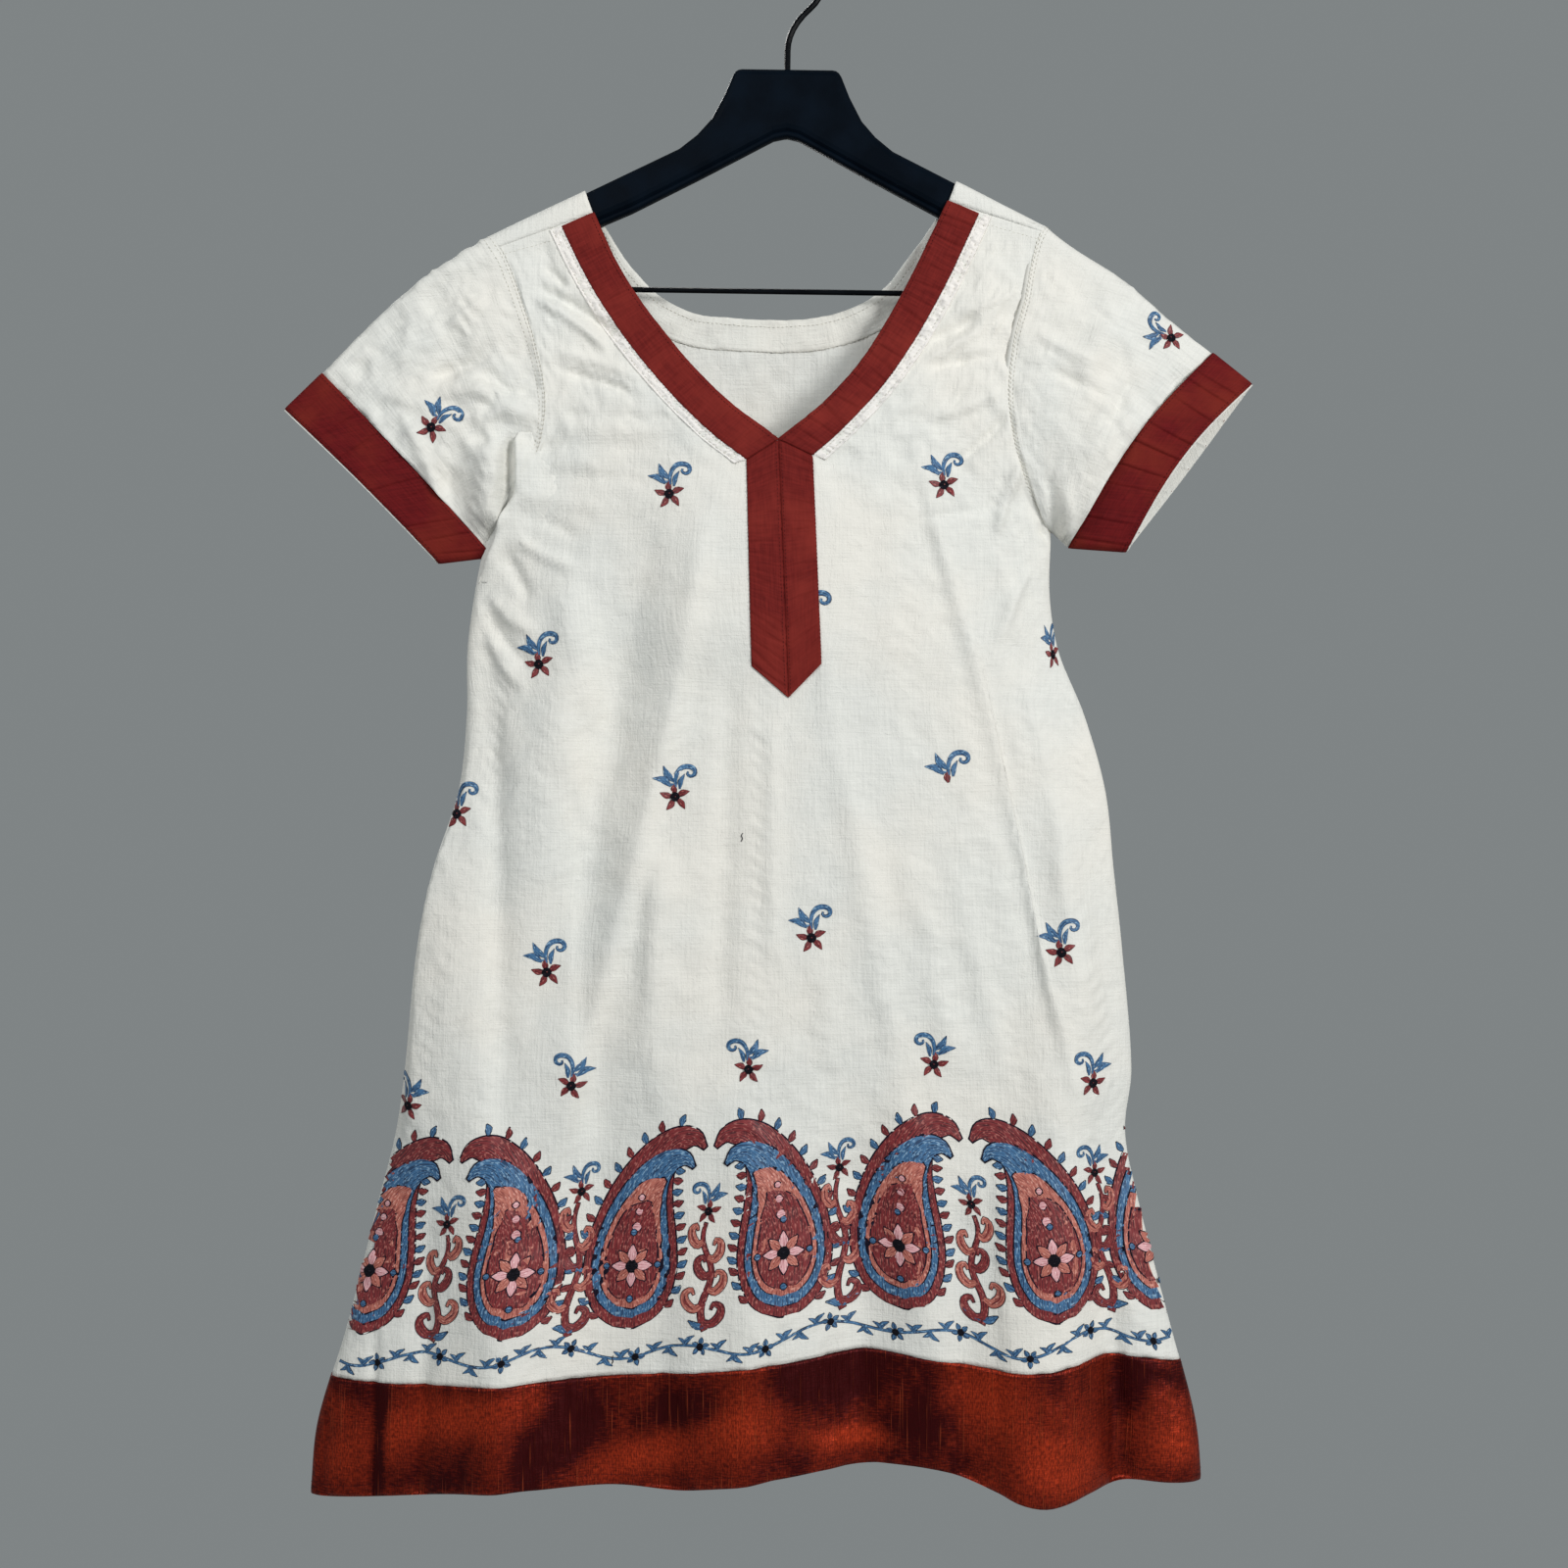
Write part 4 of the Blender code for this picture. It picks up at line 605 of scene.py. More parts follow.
def finish_grid(face, grid, across, margin, edge):
    """Outside of a panel's grid: its wall, folds and creases, with fine crinkle."""
    normal = outward(grid)
    flat_side = edge[:, 0] == 0.0
    normal[flat_side, 0, 1] = 0.0
    normal = unit(normal)
    x, z = grid[..., 0], grid[..., 2]
    calm = smoothstep(across / 0.03) * smoothstep((ridge_z(x) - z - 16.0) / 16.0)
    stiff = 0.0
    if face == "front":
        stiff = 0.6 * (1.0 - smoothstep(margin / STIFF_MARGIN)) * smoothstep((z + 560.0) / 20.0)
    creased = crease_field(CREASES[face], x, z) + (1.0 - stiff) * crumple(x, z, CRUMPLE_SEED[face])
    height = WALL + calm * creased
    return grid + normal * height[..., None], normal


def arc_uv(grid, side):
    """Distance along each row from its inner edge, and height."""
    step = np.linalg.norm(np.diff(grid, axis=1), axis=2)
    reach = np.concatenate([np.cumsum(step[:, ::-1], 1)[:, ::-1], np.zeros((len(grid), 1))], 1)
    return np.stack([SIGN[side] * reach + grid[:, -1:, 0], grid[..., 2]], -1)


def two_halves(name, halves, joined, thickness):
    """One mesh of both halves, which share their middle line in the lowest rows."""
    (left, left_uv), (right, right_uv) = halves
    rows, columns = left.shape[:2]
    faces = np.concatenate([grid_faces(0, rows, columns)[:, ::-1], grid_faces(rows * columns, rows, columns)])
    middle = np.arange(joined) * columns + columns - 1
    renumber = np.arange(2 * rows * columns)
    renumber[middle + rows * columns] = middle
    points = np.concatenate([left.reshape(-1, 3), right.reshape(-1, 3)])
    uv = np.concatenate([left_uv.reshape(-1, 2), right_uv.reshape(-1, 2)])
    return build(name, points, renumber[faces], uv, thickness)


def half_panel(face, groups):
    """Half a panel: its inside, share across, distance to the band, outside and normals."""
    made = [inside_points(face, rows, SIDE, MIDDLE) for rows in groups]
    grid, across, margin = (np.concatenate([part[k] for part in made]) for k in range(3))
    edge = np.concatenate([rows.edge for rows in groups])
    return grid, across, margin, *finish_grid(face, grid, across, margin, edge)


def make_front():
    """Front panel, puckered along the neck band."""
    halves, parts = [], {}
    top = SKIRT + PLACKET
    for side in SIGN:
        groups = (front_skirt(side, np.arange(SKIRT) / SKIRT),
                  front_placket(side, np.arange(PLACKET) / PLACKET),
                  front_neck(side, np.arange(YOKE + 1) / YOKE))
        grid, _, margin, outside, normal = half_panel("front", groups)
        line = grid[..., 2] * 1.6 - grid[..., 0] * 0.8
        pucker = noise(margin * 0.6, line, 3.2, PUCKER_SEED) * np.exp(-(margin / 6.5) ** 2)
        pucker -= 0.5 * np.exp(-((margin - 8.0) / 1.6) ** 2)
        pucker[:top] = 0.0
        pucker[:, SIDE + 1:] = 0.0
        outside = outside + normal * 0.55 * pucker[..., None]
        up = unit(outside[-1] - outside[-2])
        tucked = outside[-1] + up * 5.0 - normal[-1] * 0.8
        sewn = np.concatenate([outside, tucked[None]])
        halves.append((sewn, arc_uv(np.concatenate([grid, grid[-1:] + (0.0, 0.0, 5.0)]), side)))
        parts[side] = (outside, normal)
    return two_halves("front_panel_cloth", halves, top + 1, THICK["panel"]), parts


def make_back():
    """Back panel, over the arms of the hanger to the shoulder seams."""
    halves, parts = [], {}
    count = SKIRT + PLACKET
    joined = count + YOKE // 2 + 1
    way = np.arange(1, RIDGE + 1)[:, None] / RIDGE
    for side in SIGN:
        groups = (back_skirt(side, np.arange(count) / count), back_upper(side, np.arange(YOKE + 1) / YOKE))
        grid, across, _, outside, _ = half_panel("back", groups)
        over = over_ridge(side, way, across[-1:])
        level = np.sqrt(np.maximum(0.0, RIDGE_RADIUS ** 2 - over[..., 1] ** 2))
        up = unit(np.stack([np.zeros_like(level), over[..., 1], level], -1))
        lifted = over + up * (WALL + 0.25 * np.exp(-((1.0 - way) / 0.12) ** 2))[..., None]
        parts[side] = np.concatenate([outside, lifted])
        halves.append((parts[side], arc_uv(np.concatenate([grid, over]), side)))
    return two_halves("back_panel_cloth", halves, joined, THICK["panel"]), parts


def make_hem(face):
    """Hem band, lapped over the panel's lower edge and turned up at the hem."""
    share = np.concatenate([[0.0, 0.0], np.arange(HEM_COUNT) / (HEM_COUNT - 1), [1.0]])
    profile = np.array([-1.6, -0.2] + [0.5] * (HEM_COUNT - 1) + [0.4, -0.5])
    profile[2] = 0.2
    halves, parts = [], {}
    for side in SIGN:
        grid, across = inside_points(face, hem_rows(face, side, share), SIDE, MIDDLE)[:2]
        normal = outward(grid[1:-1])
        normal[:, 0, 1] = 0.0
        normal = unit(np.concatenate([normal[:1], normal, normal[-1:]]))
        x, z = grid[..., 0], grid[..., 2]
        calm = smoothstep(across / 0.03)
        dupioni = 0.25 * crumple(x, z, CRUMPLE_SEED["hem"]) + hem_ripple(face, x, z, share[:, None])
        height = WALL + profile[:, None] + calm * (crease_field(CREASES[face], x, z) + dupioni)
        outside = grid + normal * height[..., None]
        halves.append((outside, arc_uv(grid, side)))
        parts[side] = (outside, normal)
    piece = two_halves("hem_band_cloth_" + face, halves, len(share), THICK["hem"])
    # Painted sheen of the silk, its painted highlights and painted shade, kept for each point in the light
    # attribute
    light = piece.data.attributes.new("light", "FLOAT", "POINT")
    points = np.zeros(3 * len(piece.data.vertices))
    piece.data.vertices.foreach_get("co", points)
    points = points.reshape(-1, 3) / MM
    bright = painted_silk_sheen(face, points[:, 0] - CLOTH_SHIFT, points[:, 2])
    light.data.foreach_set("value", PAINTED_SHEEN_BASE + PAINTED_SHEEN_REACH * bright)
    return piece, parts


WAVE_SEED = {"front": 61, "back": 71}
ZIGZAG_SEED, ZIGZAG_WHERE_SEED = 63, 64


def hem_ripple(face, x, z, up):
    """Soft waves of the stiff hem band, and the small zigzag creases low on it."""
    low = 1.0 - up
    wave = 1.5 * noise(x, z * 0.35, 34.0, WAVE_SEED[face], 0.1) * (0.35 + low)
    zigzag = noise(x, z, 9.0, ZIGZAG_SEED, 0.6) * np.exp(-((low - 0.72) / 0.2) ** 2)
    return wave + 0.7 * zigzag * smoothstep(noise(x, z * 0.2, 60.0, ZIGZAG_WHERE_SEED) * 2.0)


def wrapped_strip(points, normal, heights):
    """Columns of a band: what lies on the panel, then what wraps round the neck edge to its inside."""
    raised = points + normal * heights[None, :, None]
    inward = unit(points[:, -1] - points[:, -2])
    around = [points[:, -1] + inward * reach + normal[:, -1] * height for reach, height in BAND_WRAP]
    return np.concatenate([raised, np.stack(around, 1)], 1)


# Columns of a band by their share of its width, how high they lie, and the wrap round the neck edge
BAND_AT = np.array([0.0, 0.0, 0.03, 0.08, 0.2, 0.35, 0.5, 0.65, 0.8, 0.92, 1.0])
BAND_HEIGHTS = np.array([-0.3, 0.8, 1.25, 1.35, 1.35, 1.35, 1.35, 1.35, 1.35, 1.3])
BAND_WRAP = ((0.9, 0.5), (1.1, -0.6), (0.7, -1.7), (-2.5, -1.9), (-6.0, -1.8))
BAND_WRAP_WIDTH = np.array([1, 2, 3, 6, 10])
BAND_SIDE, BAND_COLUMNS = 30, 24
BAND_MIDDLE = 5
NECK_BAND_WIDTH = 23.0
STITCH_HEIGHT = 1.45
# Groove where two bands meet: depth and width
MITRE_DEPTH, MITRE_WIDTH = 0.9, 0.9
CROSS_SEED = {"neck_left": 5, "neck_right": 6, "placket_left": 8, "placket_right": 9,
              "cuff_left": 15, "cuff_right": 16}
# Least and greatest distance between two creases across a band
BAND_GAPS = (5.0, 15.0)
CUFF_GAPS = (9.0, 28.0)
# Creases across the placket that both its halves share: distance from its foot, and slant in each half
PLACKET_CREASES = (100.0, 66.0, 30.0)
PLACKET_SLANT = {"left": 5.0, "right": 9.0}
# Margin outside the neck band: distances from the band line, and its two seams
MARGIN_REACH = np.array([0.0, 1.0, 2.0, 3.0, 4.0, 5.0, 6.0, 6.8, 7.6, 8.4, 8.9, 9.3])
MARGIN_SEAMS = (1.8, 7.0)
MARGIN_SEEDS = (41, 42)


def band_points(rows):
    """Panel's outside under a band, across BAND_AT from its outer to its inner edge, with normals."""
    grid, across, margin = inside_points("front", rows, BAND_SIDE, BAND_COLUMNS)
    fields = finish_grid("front", grid, across, margin, np.ones((len(grid), 1)))
    keys = np.linspace(0.0, 1.0, BAND_COLUMNS + 1)
    return [np.stack([sample(row, keys, BAND_AT) for row in field[:, BAND_SIDE:]]) for field in fields]


def cross_creases(lengths, across, seed, gap=BAND_GAPS):
    """Short creases that run across a band."""
    rng = np.random.RandomState(seed)
    total = np.zeros((len(lengths), len(across)))
    at = 6.0
    while at < lengths[-1]:
        slant = rng.uniform(-5.0, 5.0)
        depth = rng.uniform(0.35, 0.95)
        reach = rng.uniform(0.4, 1.2)
        middle = rng.uniform(0.0, 1.0)
        line = lengths[:, None] - at - slant * (across[None] - 0.5)
        total -= depth * np.exp(-(line / 1.0) ** 2) * np.exp(-((across[None] - middle) / reach) ** 2)
        total += 0.45 * depth * np.exp(-((line - 2.6) / 1.8) ** 2)
        at += rng.uniform(*gap)
    return total


def finish_band(name, points, normal, strip, across, lengths):
    """Band's mesh, and the surface that its stitches lie on."""
    piece = build_grid(name, strip, point(across[None], lengths[:, None]), THICK["band"])
    return piece, (points + normal * STITCH_HEIGHT, normal)


def make_band(side):
    """Neck band, from the mitre to the shoulder seam, wrapped over the neck edge."""
    points, normal = band_points(front_neck(side, np.linspace(0.0, 1.0, 260)))
    lengths = run_length(points[:, BAND_MIDDLE])
    creased = cross_creases(lengths, BAND_AT, CROSS_SEED["neck_" + side])
    creased[:, 0] = 0.0
    creased += -MITRE_DEPTH * np.exp(-(lengths / MITRE_WIDTH) ** 2)[:, None]
    points = points + normal * creased[..., None]
    strip = wrapped_strip(points, normal, np.append(BAND_HEIGHTS, 1.2))
    across = np.concatenate([BAND_AT * NECK_BAND_WIDTH, NECK_BAND_WIDTH + BAND_WRAP_WIDTH])
    return finish_band("neck_band_cloth_" + side, points, normal, strip, across, lengths)


def make_margin(side):
    """Stitched margin outside the neck band, puckered by its seam; its outer edge sinks into the panel."""
    rows = front_neck(side, np.linspace(0.0, 1.0, 300))
    grid, across, margin = inside_points("front", rows, SIDE, 4)
    fields = finish_grid("front", grid, across, margin, np.ones((len(grid), 1)))
    reach = MARGIN_REACH
    near = margin[:, SIDE::-1]
    place, way = (np.stack([sample(row[SIDE::-1], keys, reach) for row, keys in zip(field, near)])
                  for field in fields)
    far = run_length(place[:, 3])[:, None]
    slant = far + 0.3 * reach[None]
    wide = np.broadcast_to(reach[None], slant.shape)
    long_seed, short_seed = MARGIN_SEEDS
    pucker = 0.8 * noise(slant, wide * 0.3, 2.6, long_seed) + 0.5 * noise(slant, wide, 1.7, short_seed)
    height = 0.8 + 1.5 * pucker * np.exp(-((reach - 4.2) / 4.0) ** 2)[None]
    height -= sum(0.7 * np.exp(-((reach - seam) / 0.8) ** 2)[None] for seam in MARGIN_SEAMS)
    height[:, -1] = -0.6
    strip = place + way * height[..., None]
    piece = build_grid("neck_margin_" + side, strip, point(reach[None], far), THICK["margin"])
    return piece, (place + way * 0.35, way)


def make_placket(side):
    """Half of the placket, from its pointed foot to the mitre."""
    share = np.concatenate([[0.0], np.linspace(0.0, 1.0, 180)])
    points, normal = band_points(front_placket(side, np.minimum(share, 0.9999)))
    lengths = run_length(points[:, BAND_MIDDLE])
    creased = 0.55 * cross_creases(lengths, BAND_AT, CROSS_SEED["placket_" + side])
    slant = PLACKET_SLANT[side] * BAND_AT[None]
    for at in PLACKET_CREASES:
        creased -= 0.35 * np.exp(-((lengths[:, None] - at - slant) / 0.9) ** 2)
    creased[:, 0] = 0.0
    creased[0] = -1.5
    creased -= MITRE_DEPTH * np.exp(-((lengths[-1] - lengths) / MITRE_WIDTH) ** 2)[:, None]
    points = points + normal * creased[..., None]
    strip = points + normal * np.append(BAND_HEIGHTS, 0.95)[None, :, None]
    across = BAND_AT * PLACKET_HALF
    return finish_band("placket_cloth_" + side, points, normal, strip, across, lengths)


def armhole_path(side):
    """Inside points of both panels along the armhole, each with its length of cloth from the ridge."""
    front = front_neck(side, np.arange(1, 64) / 64)
    back = back_upper(side, np.arange(63, 0, -1) / 64)
    first = np.append(armhole_point(side, ARMPIT_DROP), 0.0)[[0, 2, 1]]
    front_at = inside_points("front", front, 4, 2)[0][:, 0]
    over = over_ridge(side, np.linspace(1.0, 0.0, 10)[:, None], np.zeros((1, 1)))[:, 0]
    back_at = inside_points("back", back, 4, 2)[0][:, 0]
    path = np.concatenate([first[None], front_at, over, back_at])
    drop = np.maximum(0.0, ridge_z(path[:, 0]) - path[:, 2])
    length = cloth_length(drop) * np.where(path[:, 1] > 0, 1.0, -1.0)
    length[0] = -cloth_length(ARMPIT_DROP)
    return path, length


def sleeve_top(side, share):
    """Inside of the folded top edge of a sleeve."""
    return point(along(SLEEVE_TOP, side + "_x", share), along(SLEEVE_TOP, side + "_z", share) - WALL)


def sleeve_points(side, share):
    """Inside of a sleeve: rings from the armhole to the cuff band's seam."""
    path, length = armhole_path(side)
    sign = SIGN[side]
    low = np.minimum(1.0, np.abs(length) / cloth_length(ARMPIT_DROP))[None]
    ease = smoothstep((low - 0.62) / 0.38)
    armpit = armhole_point(side, ARMPIT_DROP)
    start_low = armpit + np.array((sign * ARMPIT_EASE[0], ARMPIT_EASE[1]))
    share = np.asarray(share, float)[:, None]
    top = sleeve_top(side, share)
    bottom = mix(start_low, np.array(CUFF_SEAM_LOW[side]), share[..., None])
    place = mix(top, bottom, low[..., None])
    start = mix(sleeve_top(side, 0.0), start_low, low[..., None])
    at_seam = np.stack([path[None, :, 0] + sign * ease * 0.8, path[None, :, 2] + ease], -1)
    at_seam = np.where((low >= 1.0)[..., None], start_low, at_seam)
    place = place + (at_seam - start) * ((1.0 - share) ** 1.3)[..., None]
    front_bow, back_bow = CUFF_BOW[side]
    bow = np.where(length < 0, front_bow, back_bow)[None] * np.sin(np.pi * low) * share ** 2
    x, z = place[..., 0] - sign * bow * 0.75, place[..., 1] + bow * 0.6
    rounded = CUFF_HALF_DEPTH[side] * np.sqrt(np.maximum(0.0, np.sin(np.pi * low)))
    puff = 3.0 * np.sin(np.pi * low) * np.sin(np.pi * share) ** 2
    flat = mix(np.abs(path[None, :, 1]), rounded, smoothstep(share)) + puff
    y = np.where(low >= 1.0, 0.0, np.copysign(flat, length[None]))
    return np.stack([x, y, z], -1), low, length


def cuff_points(side, share):
    """Inside of a cuff band: rings from its seam to its open edge."""
    ring, low = sleeve_points(side, [1.0])[:2]
    seam_top = sleeve_top(side, 1.0)
    top_move = np.array((CUFF_EDGE_TOP[side][0], CUFF_EDGE_TOP[side][1] - WALL)) - seam_top
    low_move = np.array(CUFF_EDGE_LOW[side]) - np.array(CUFF_SEAM_LOW[side])
    move = mix(top_move, low_move, low[..., None])
    share = np.asarray(share, float)[:, None]
    x = ring[..., 0] + move[..., 0] * share
    z = ring[..., 2] + move[..., 1] * share
    y = ring[..., 1] * (1.0 + 0.12 * share ** 2)
    return np.stack([x, y, z], -1)


def finer(grid, times):
    """Rings of a tube with more columns."""
    count = grid.shape[1]
    whole = np.concatenate([grid, grid[:, :1]], 1)
    at = np.arange(count * times) / times
    return np.stack([sample(ring, np.arange(count + 1), at) for ring in whole])


def tube_uv(grid):
    """Distance round each ring and along the tube."""
    around = np.stack([run_length(ring) for ring in grid])
    return point(around, run_length(grid[:, TUBE_LINE])[:, None])


def tube_creases(grid, length):
    """Creases of a sleeve, with its own on the back."""
    x, z = grid[..., 0], grid[..., 2]
    seed = CRUMPLE_SEED["sleeve"]
    front = crease_field(CREASES["sleeve_front"], x, z) + np.where(x < 0, 1.5, 0.95) * crumple(x, z, seed)
    back = crease_field(CREASES["sleeve_back"], x, z) + crumple(x, z, seed + 9)
    near_fold = smoothstep(np.abs(grid[..., 1]) / 4.0)
    total = np.where(length[None] < 0, front, back) * near_fold
    on_arm = (ridge_z(x) - z < 34.0) & (np.abs(x) < 240.0)
    return np.where(on_arm, np.maximum(total, -0.25), total)


def make_sleeve(side):
    """Sleeve, its first ring tucked under the panels at the armhole seam."""
    share = np.concatenate([[0.0, 0.0], np.linspace(0.012, 0.33, 26), np.linspace(0.355, 1.0, 28)])
    grid, _, length = sleeve_points(side, share)
    normal = outward(grid[1:], True)
    normal = np.concatenate([normal[:1], normal])
    height = WALL + tube_creases(grid, length) * smoothstep(share / 0.06)[:, None]
    height[0] = 0.8
    outside = grid + normal * height[..., None]
    outside[0, :, 0] -= SIGN[side] * 3.0
    piece = build_grid("sleeve_cloth_" + side, outside, tube_uv(grid), THICK["sleeve"], True)
    return piece, (outside, normal)


def make_cuff(side):
    """Cuff band outside, and the cream cloth that lines it, seen at its open edge."""
    share = np.concatenate([[0.0], np.linspace(0.0, 1.0, 16), [1.0]])
    grid = finer(cuff_points(side, share), CUFF_FINER)
    normal = outward(grid[1:-1], True)
    normal = np.concatenate([normal[:1], normal, normal[-1:]])
    seed = CROSS_SEED["cuff_" + side]
    wrinkle = cross_creases(run_length(grid[8]), np.linspace(0, 1, len(share)), seed, CUFF_GAPS).T
    wrinkle = 1.2 * wrinkle * smoothstep(np.abs(grid[..., 1]) / 3.0)
    profile = np.array([-0.2, 0.5] + [0.75] * 14 + [0.5, -0.3])
    outside = grid + normal * (WALL + profile[:, None] + wrinkle)[..., None]
    cuff = build_grid("cuff_band_cloth_" + side, outside, tube_uv(grid), THICK["cuff"], True)
    inner = finer(cuff_points(side, np.concatenate([np.linspace(0.0, 1.0, 12), [1.03]])), CUFF_FINER)
    depth = np.array([0.35] * 11 + [0.7, 1.1])
    lining = inner + outward(inner, True) * (depth[:, None] + 0.4 * wrinkle[2:15])[..., None]
    lined = build_grid("cuff_lining_" + side, lining, tube_uv(inner), THICK["lining"], True, outer=-1.0)
    return cuff, lined, (outside, normal)


# Facing's rows by distance below the neck edge and distance out from the panel's inside
FACING = table(
    "down depth",
    (22.2, 0.35), (22, -0.35), (20, -0.5), (16, -0.5), (12, -0.5), (8, -0.5), (4, -0.5), (1, -0.6),
    (-0.6, -0.3), (-1.2, 0.6), (-0.9, 1.5), (0.6, 1.9), (3, 1.45))
FACING_END = 0.86
FACING_SEED = 91


def make_facing():
    """Cream facing inside the back neckline, rolled over its edge."""
    share = np.linspace(0.0, FACING_END, 52)
    edges, ways = [], []
    for side in SIGN:
        edge, ahead = (point(*(along(BACK_NECK, side + axis, at) for axis in ("_x", "_z")))
                       for at in (share, share + 0.02))
        way = unit(ahead - edge)
        way = np.stack([way[:, 1], -way[:, 0]], -1) * SIGN[side]
        outside_in = slice(None, 0, -1) if side == "left" else slice(None)
        edges.append(edge[outside_in])
        ways.append(way[outside_in])
    edge, way = np.concatenate(edges), np.concatenate(ways)
    down, depth = FACING["down"], FACING["depth"]
    middle = (len(edge) - 1) / 2
    far = np.abs(np.arange(len(edge)) - middle) / middle
    narrow = 1.0 - 0.55 * smoothstep((far - 0.7) / 0.3)
    reach = np.maximum(down, 0)[:, None] * narrow[None] + np.minimum(down, 0)[:, None]
    place = edge[None] + way[None] * reach[..., None]
    x, z = place[..., 0], place[..., 1]
    drop = ridge_z(x) - z
    left_x, right_x = (read(ARMHOLE, "drop", side, np.clip(drop, 0, ARMPIT_DROP)) for side in SIGN)
    outer_x = np.where(x < CENTRE_X, left_x, right_x)
    across = np.clip((x - outer_x) / (CENTRE_X - outer_x), 0.0, 1.0)
    y = panel_depth("back", read(ARMHOLE, "drop", "depth", drop), 1.0, x, z, across)
    ripple = crease_field(CREASES["back"], x, z) + crumple(x, z, CRUMPLE_SEED["back"])
    fine = 0.25 * noise(x, z, 6.0, FACING_SEED) * smoothstep((down[:, None] - 1.0) / 4.0)
    y = y + ripple * smoothstep(drop / 14.0) + depth[:, None] + fine
    grid = np.stack([x, y, z], -1)
    uv = point(run_length(edge)[None], down[:, None])
    piece = build_grid("back_neck_facing_cloth", grid, uv, THICK["facing"], outer=-1.0)
    return piece, (grid, np.broadcast_to((0.0, -1.0, 0.0), grid.shape))


# Running stitches: length, gap, radius and wander
STITCH_SIZES = {
    "usual": (2.3, 0.9, 0.24, 0.15),
    "band": (2.0, 0.7, 0.22, 0.05),
    "placket": (2.0, 0.7, 0.16, 0.05),
    "cuff": (2.0, 0.9, 0.2, 0.1),
    "hem": (2.2, 0.8, 0.22, 0.1),
}
STITCHES = {"cream": [], "rust": []}


def stitch_line(colour, kind, surface, at, lift, seed):
    """Running stitches along one line of a surface's grid, each a small spindle of thread."""
    length, gap, radius, wander = STITCH_SIZES[kind]
    points, normal = (field[at] for field in surface)
    path = points + lift * normal
    far = run_length(path)
    count = int(far[-1] / (length + gap))
    rng = np.random.RandomState(seed)
    middle = (np.arange(count) + 0.5) * (length + gap)
    a, b = (sample(path, far, middle + end * length / 2) for end in (-1.0, 1.0))
    up = unit(sample(normal, far, middle))
    side = unit(np.cross(b - a, up))
    off = side * rng.uniform(-wander, wander, (count, 1))
    a, b = a + off, b + off
    mid = (a + b) / 2
    ring = [mid + side * radius, mid + up * radius * 1.5, mid - side * radius, mid - up * radius]
    STITCHES[colour].append(np.stack([a, b, *ring], 1))


def make_stitching(colour):
    """All running stitches of one colour."""
    spindles = np.concatenate(STITCHES[colour])
    pattern = np.array([(0, 2, 3), (0, 3, 4), (0, 4, 5), (0, 5, 2),
                        (1, 3, 2), (1, 4, 3), (1, 5, 4), (1, 2, 5)])
    faces = (pattern[None] + 6 * np.arange(len(spindles))[:, None, None]).reshape(-1, 3)
    return build("stitching_" + colour, spindles.reshape(-1, 3), faces)


# Camera, and millimetres for each pixel of the photograph in the hanger's plane and on the front
CAMERA_BACK = 1250.0
CAMERA_Z = -594.6
VIEW_WIDTH = 1120.0
PIXEL = 0.7
CENTRE_PIXEL = 800.0
FRONT_PIXEL = 0.6825
FRONT_TOP_Z = -48.6
# Rays along Y start this far from the hanger's plane
RAY_START = 300.0
# Pull of a thread's lift towards the viewer, so that it clears the creases
THREAD_TILT = 0.8


class Cloth:
    """Surfaces that embroidery is sewn on, reached along Y from the front or the back."""

    def __init__(self, face, grids):
        self.way = -FACE[face]
        corners, faces, start = [], [], 0
        for grid, closed in grids:
            rows, columns = grid.shape[:2]
            corners.append(grid.reshape(-1, 3))
            faces.append(grid_faces(start, rows, columns, closed))
            start += rows * columns
        self.tree = BVHTree.FromPolygons(np.concatenate(corners).tolist(), np.concatenate(faces).tolist())
        self.layers = {}

    def seen(self, px, py):
        """Place in the front view of what shows at a pixel of the photograph."""
        eye = Vector((0.0, -CAMERA_BACK, CAMERA_Z))
        right, down = (px - CENTRE_PIXEL) * PIXEL, (py - CENTRE_PIXEL) * PIXEL
        aim = Vector((right, 0.0, CAMERA_Z - down)) - eye
        hit = self.tree.ray_cast(eye, aim.normalized())[0]
        return (hit.x, hit.z) if hit else ((px - CENTRE_PIXEL) * FRONT_PIXEL, FRONT_TOP_Z - FRONT_PIXEL * py)

    def lay(self, colour, place, lift, uv):
        """Patch of thread over the cloth, a grid of places in the front view with its lift above it."""
        rows, columns = place.shape[:2]
        lift = np.broadcast_to(lift, (rows, columns)).ravel()
        out, kept = np.zeros((rows * columns, 3)), np.zeros(rows * columns, bool)
        way = Vector((0.0, self.way, 0.0))
        for i, (x, z) in enumerate(place.reshape(-1, 2)):
            hit, normal = self.tree.ray_cast(Vector((x, -RAY_START * self.way, z)), way)[:2]
            if hit is None:
                continue
            normal = normal if normal.y * self.way < 0 else -normal
            normal = (normal - way * THREAD_TILT).normalized()
            out[i] = hit + normal * lift[i]
            kept[i] = True
        faces = grid_faces(0, rows, columns)
        faces = faces[kept[faces].all(1)]
        if len(faces):
            faces = turned(out, faces, -self.way)
            self.layers.setdefault(colour, []).append((out, faces, np.asarray(uv, float).reshape(-1, 2)))

    def finish(self, name, colour):
        """One object of everything sewn in one colour."""
        points, faces, uv, start = [], [], [], 0
        for patch, patch_faces, patch_uv in self.layers[colour]:
            used = np.unique(patch_faces)
            renumber = np.zeros(len(patch), int)
            renumber[used] = np.arange(len(used)) + start
            points.append(patch[used])
            faces.append(renumber[patch_faces])
            uv.append(patch_uv[used])
            start += len(used)
        return build(name, np.concatenate(points), np.concatenate(faces), np.concatenate(uv))


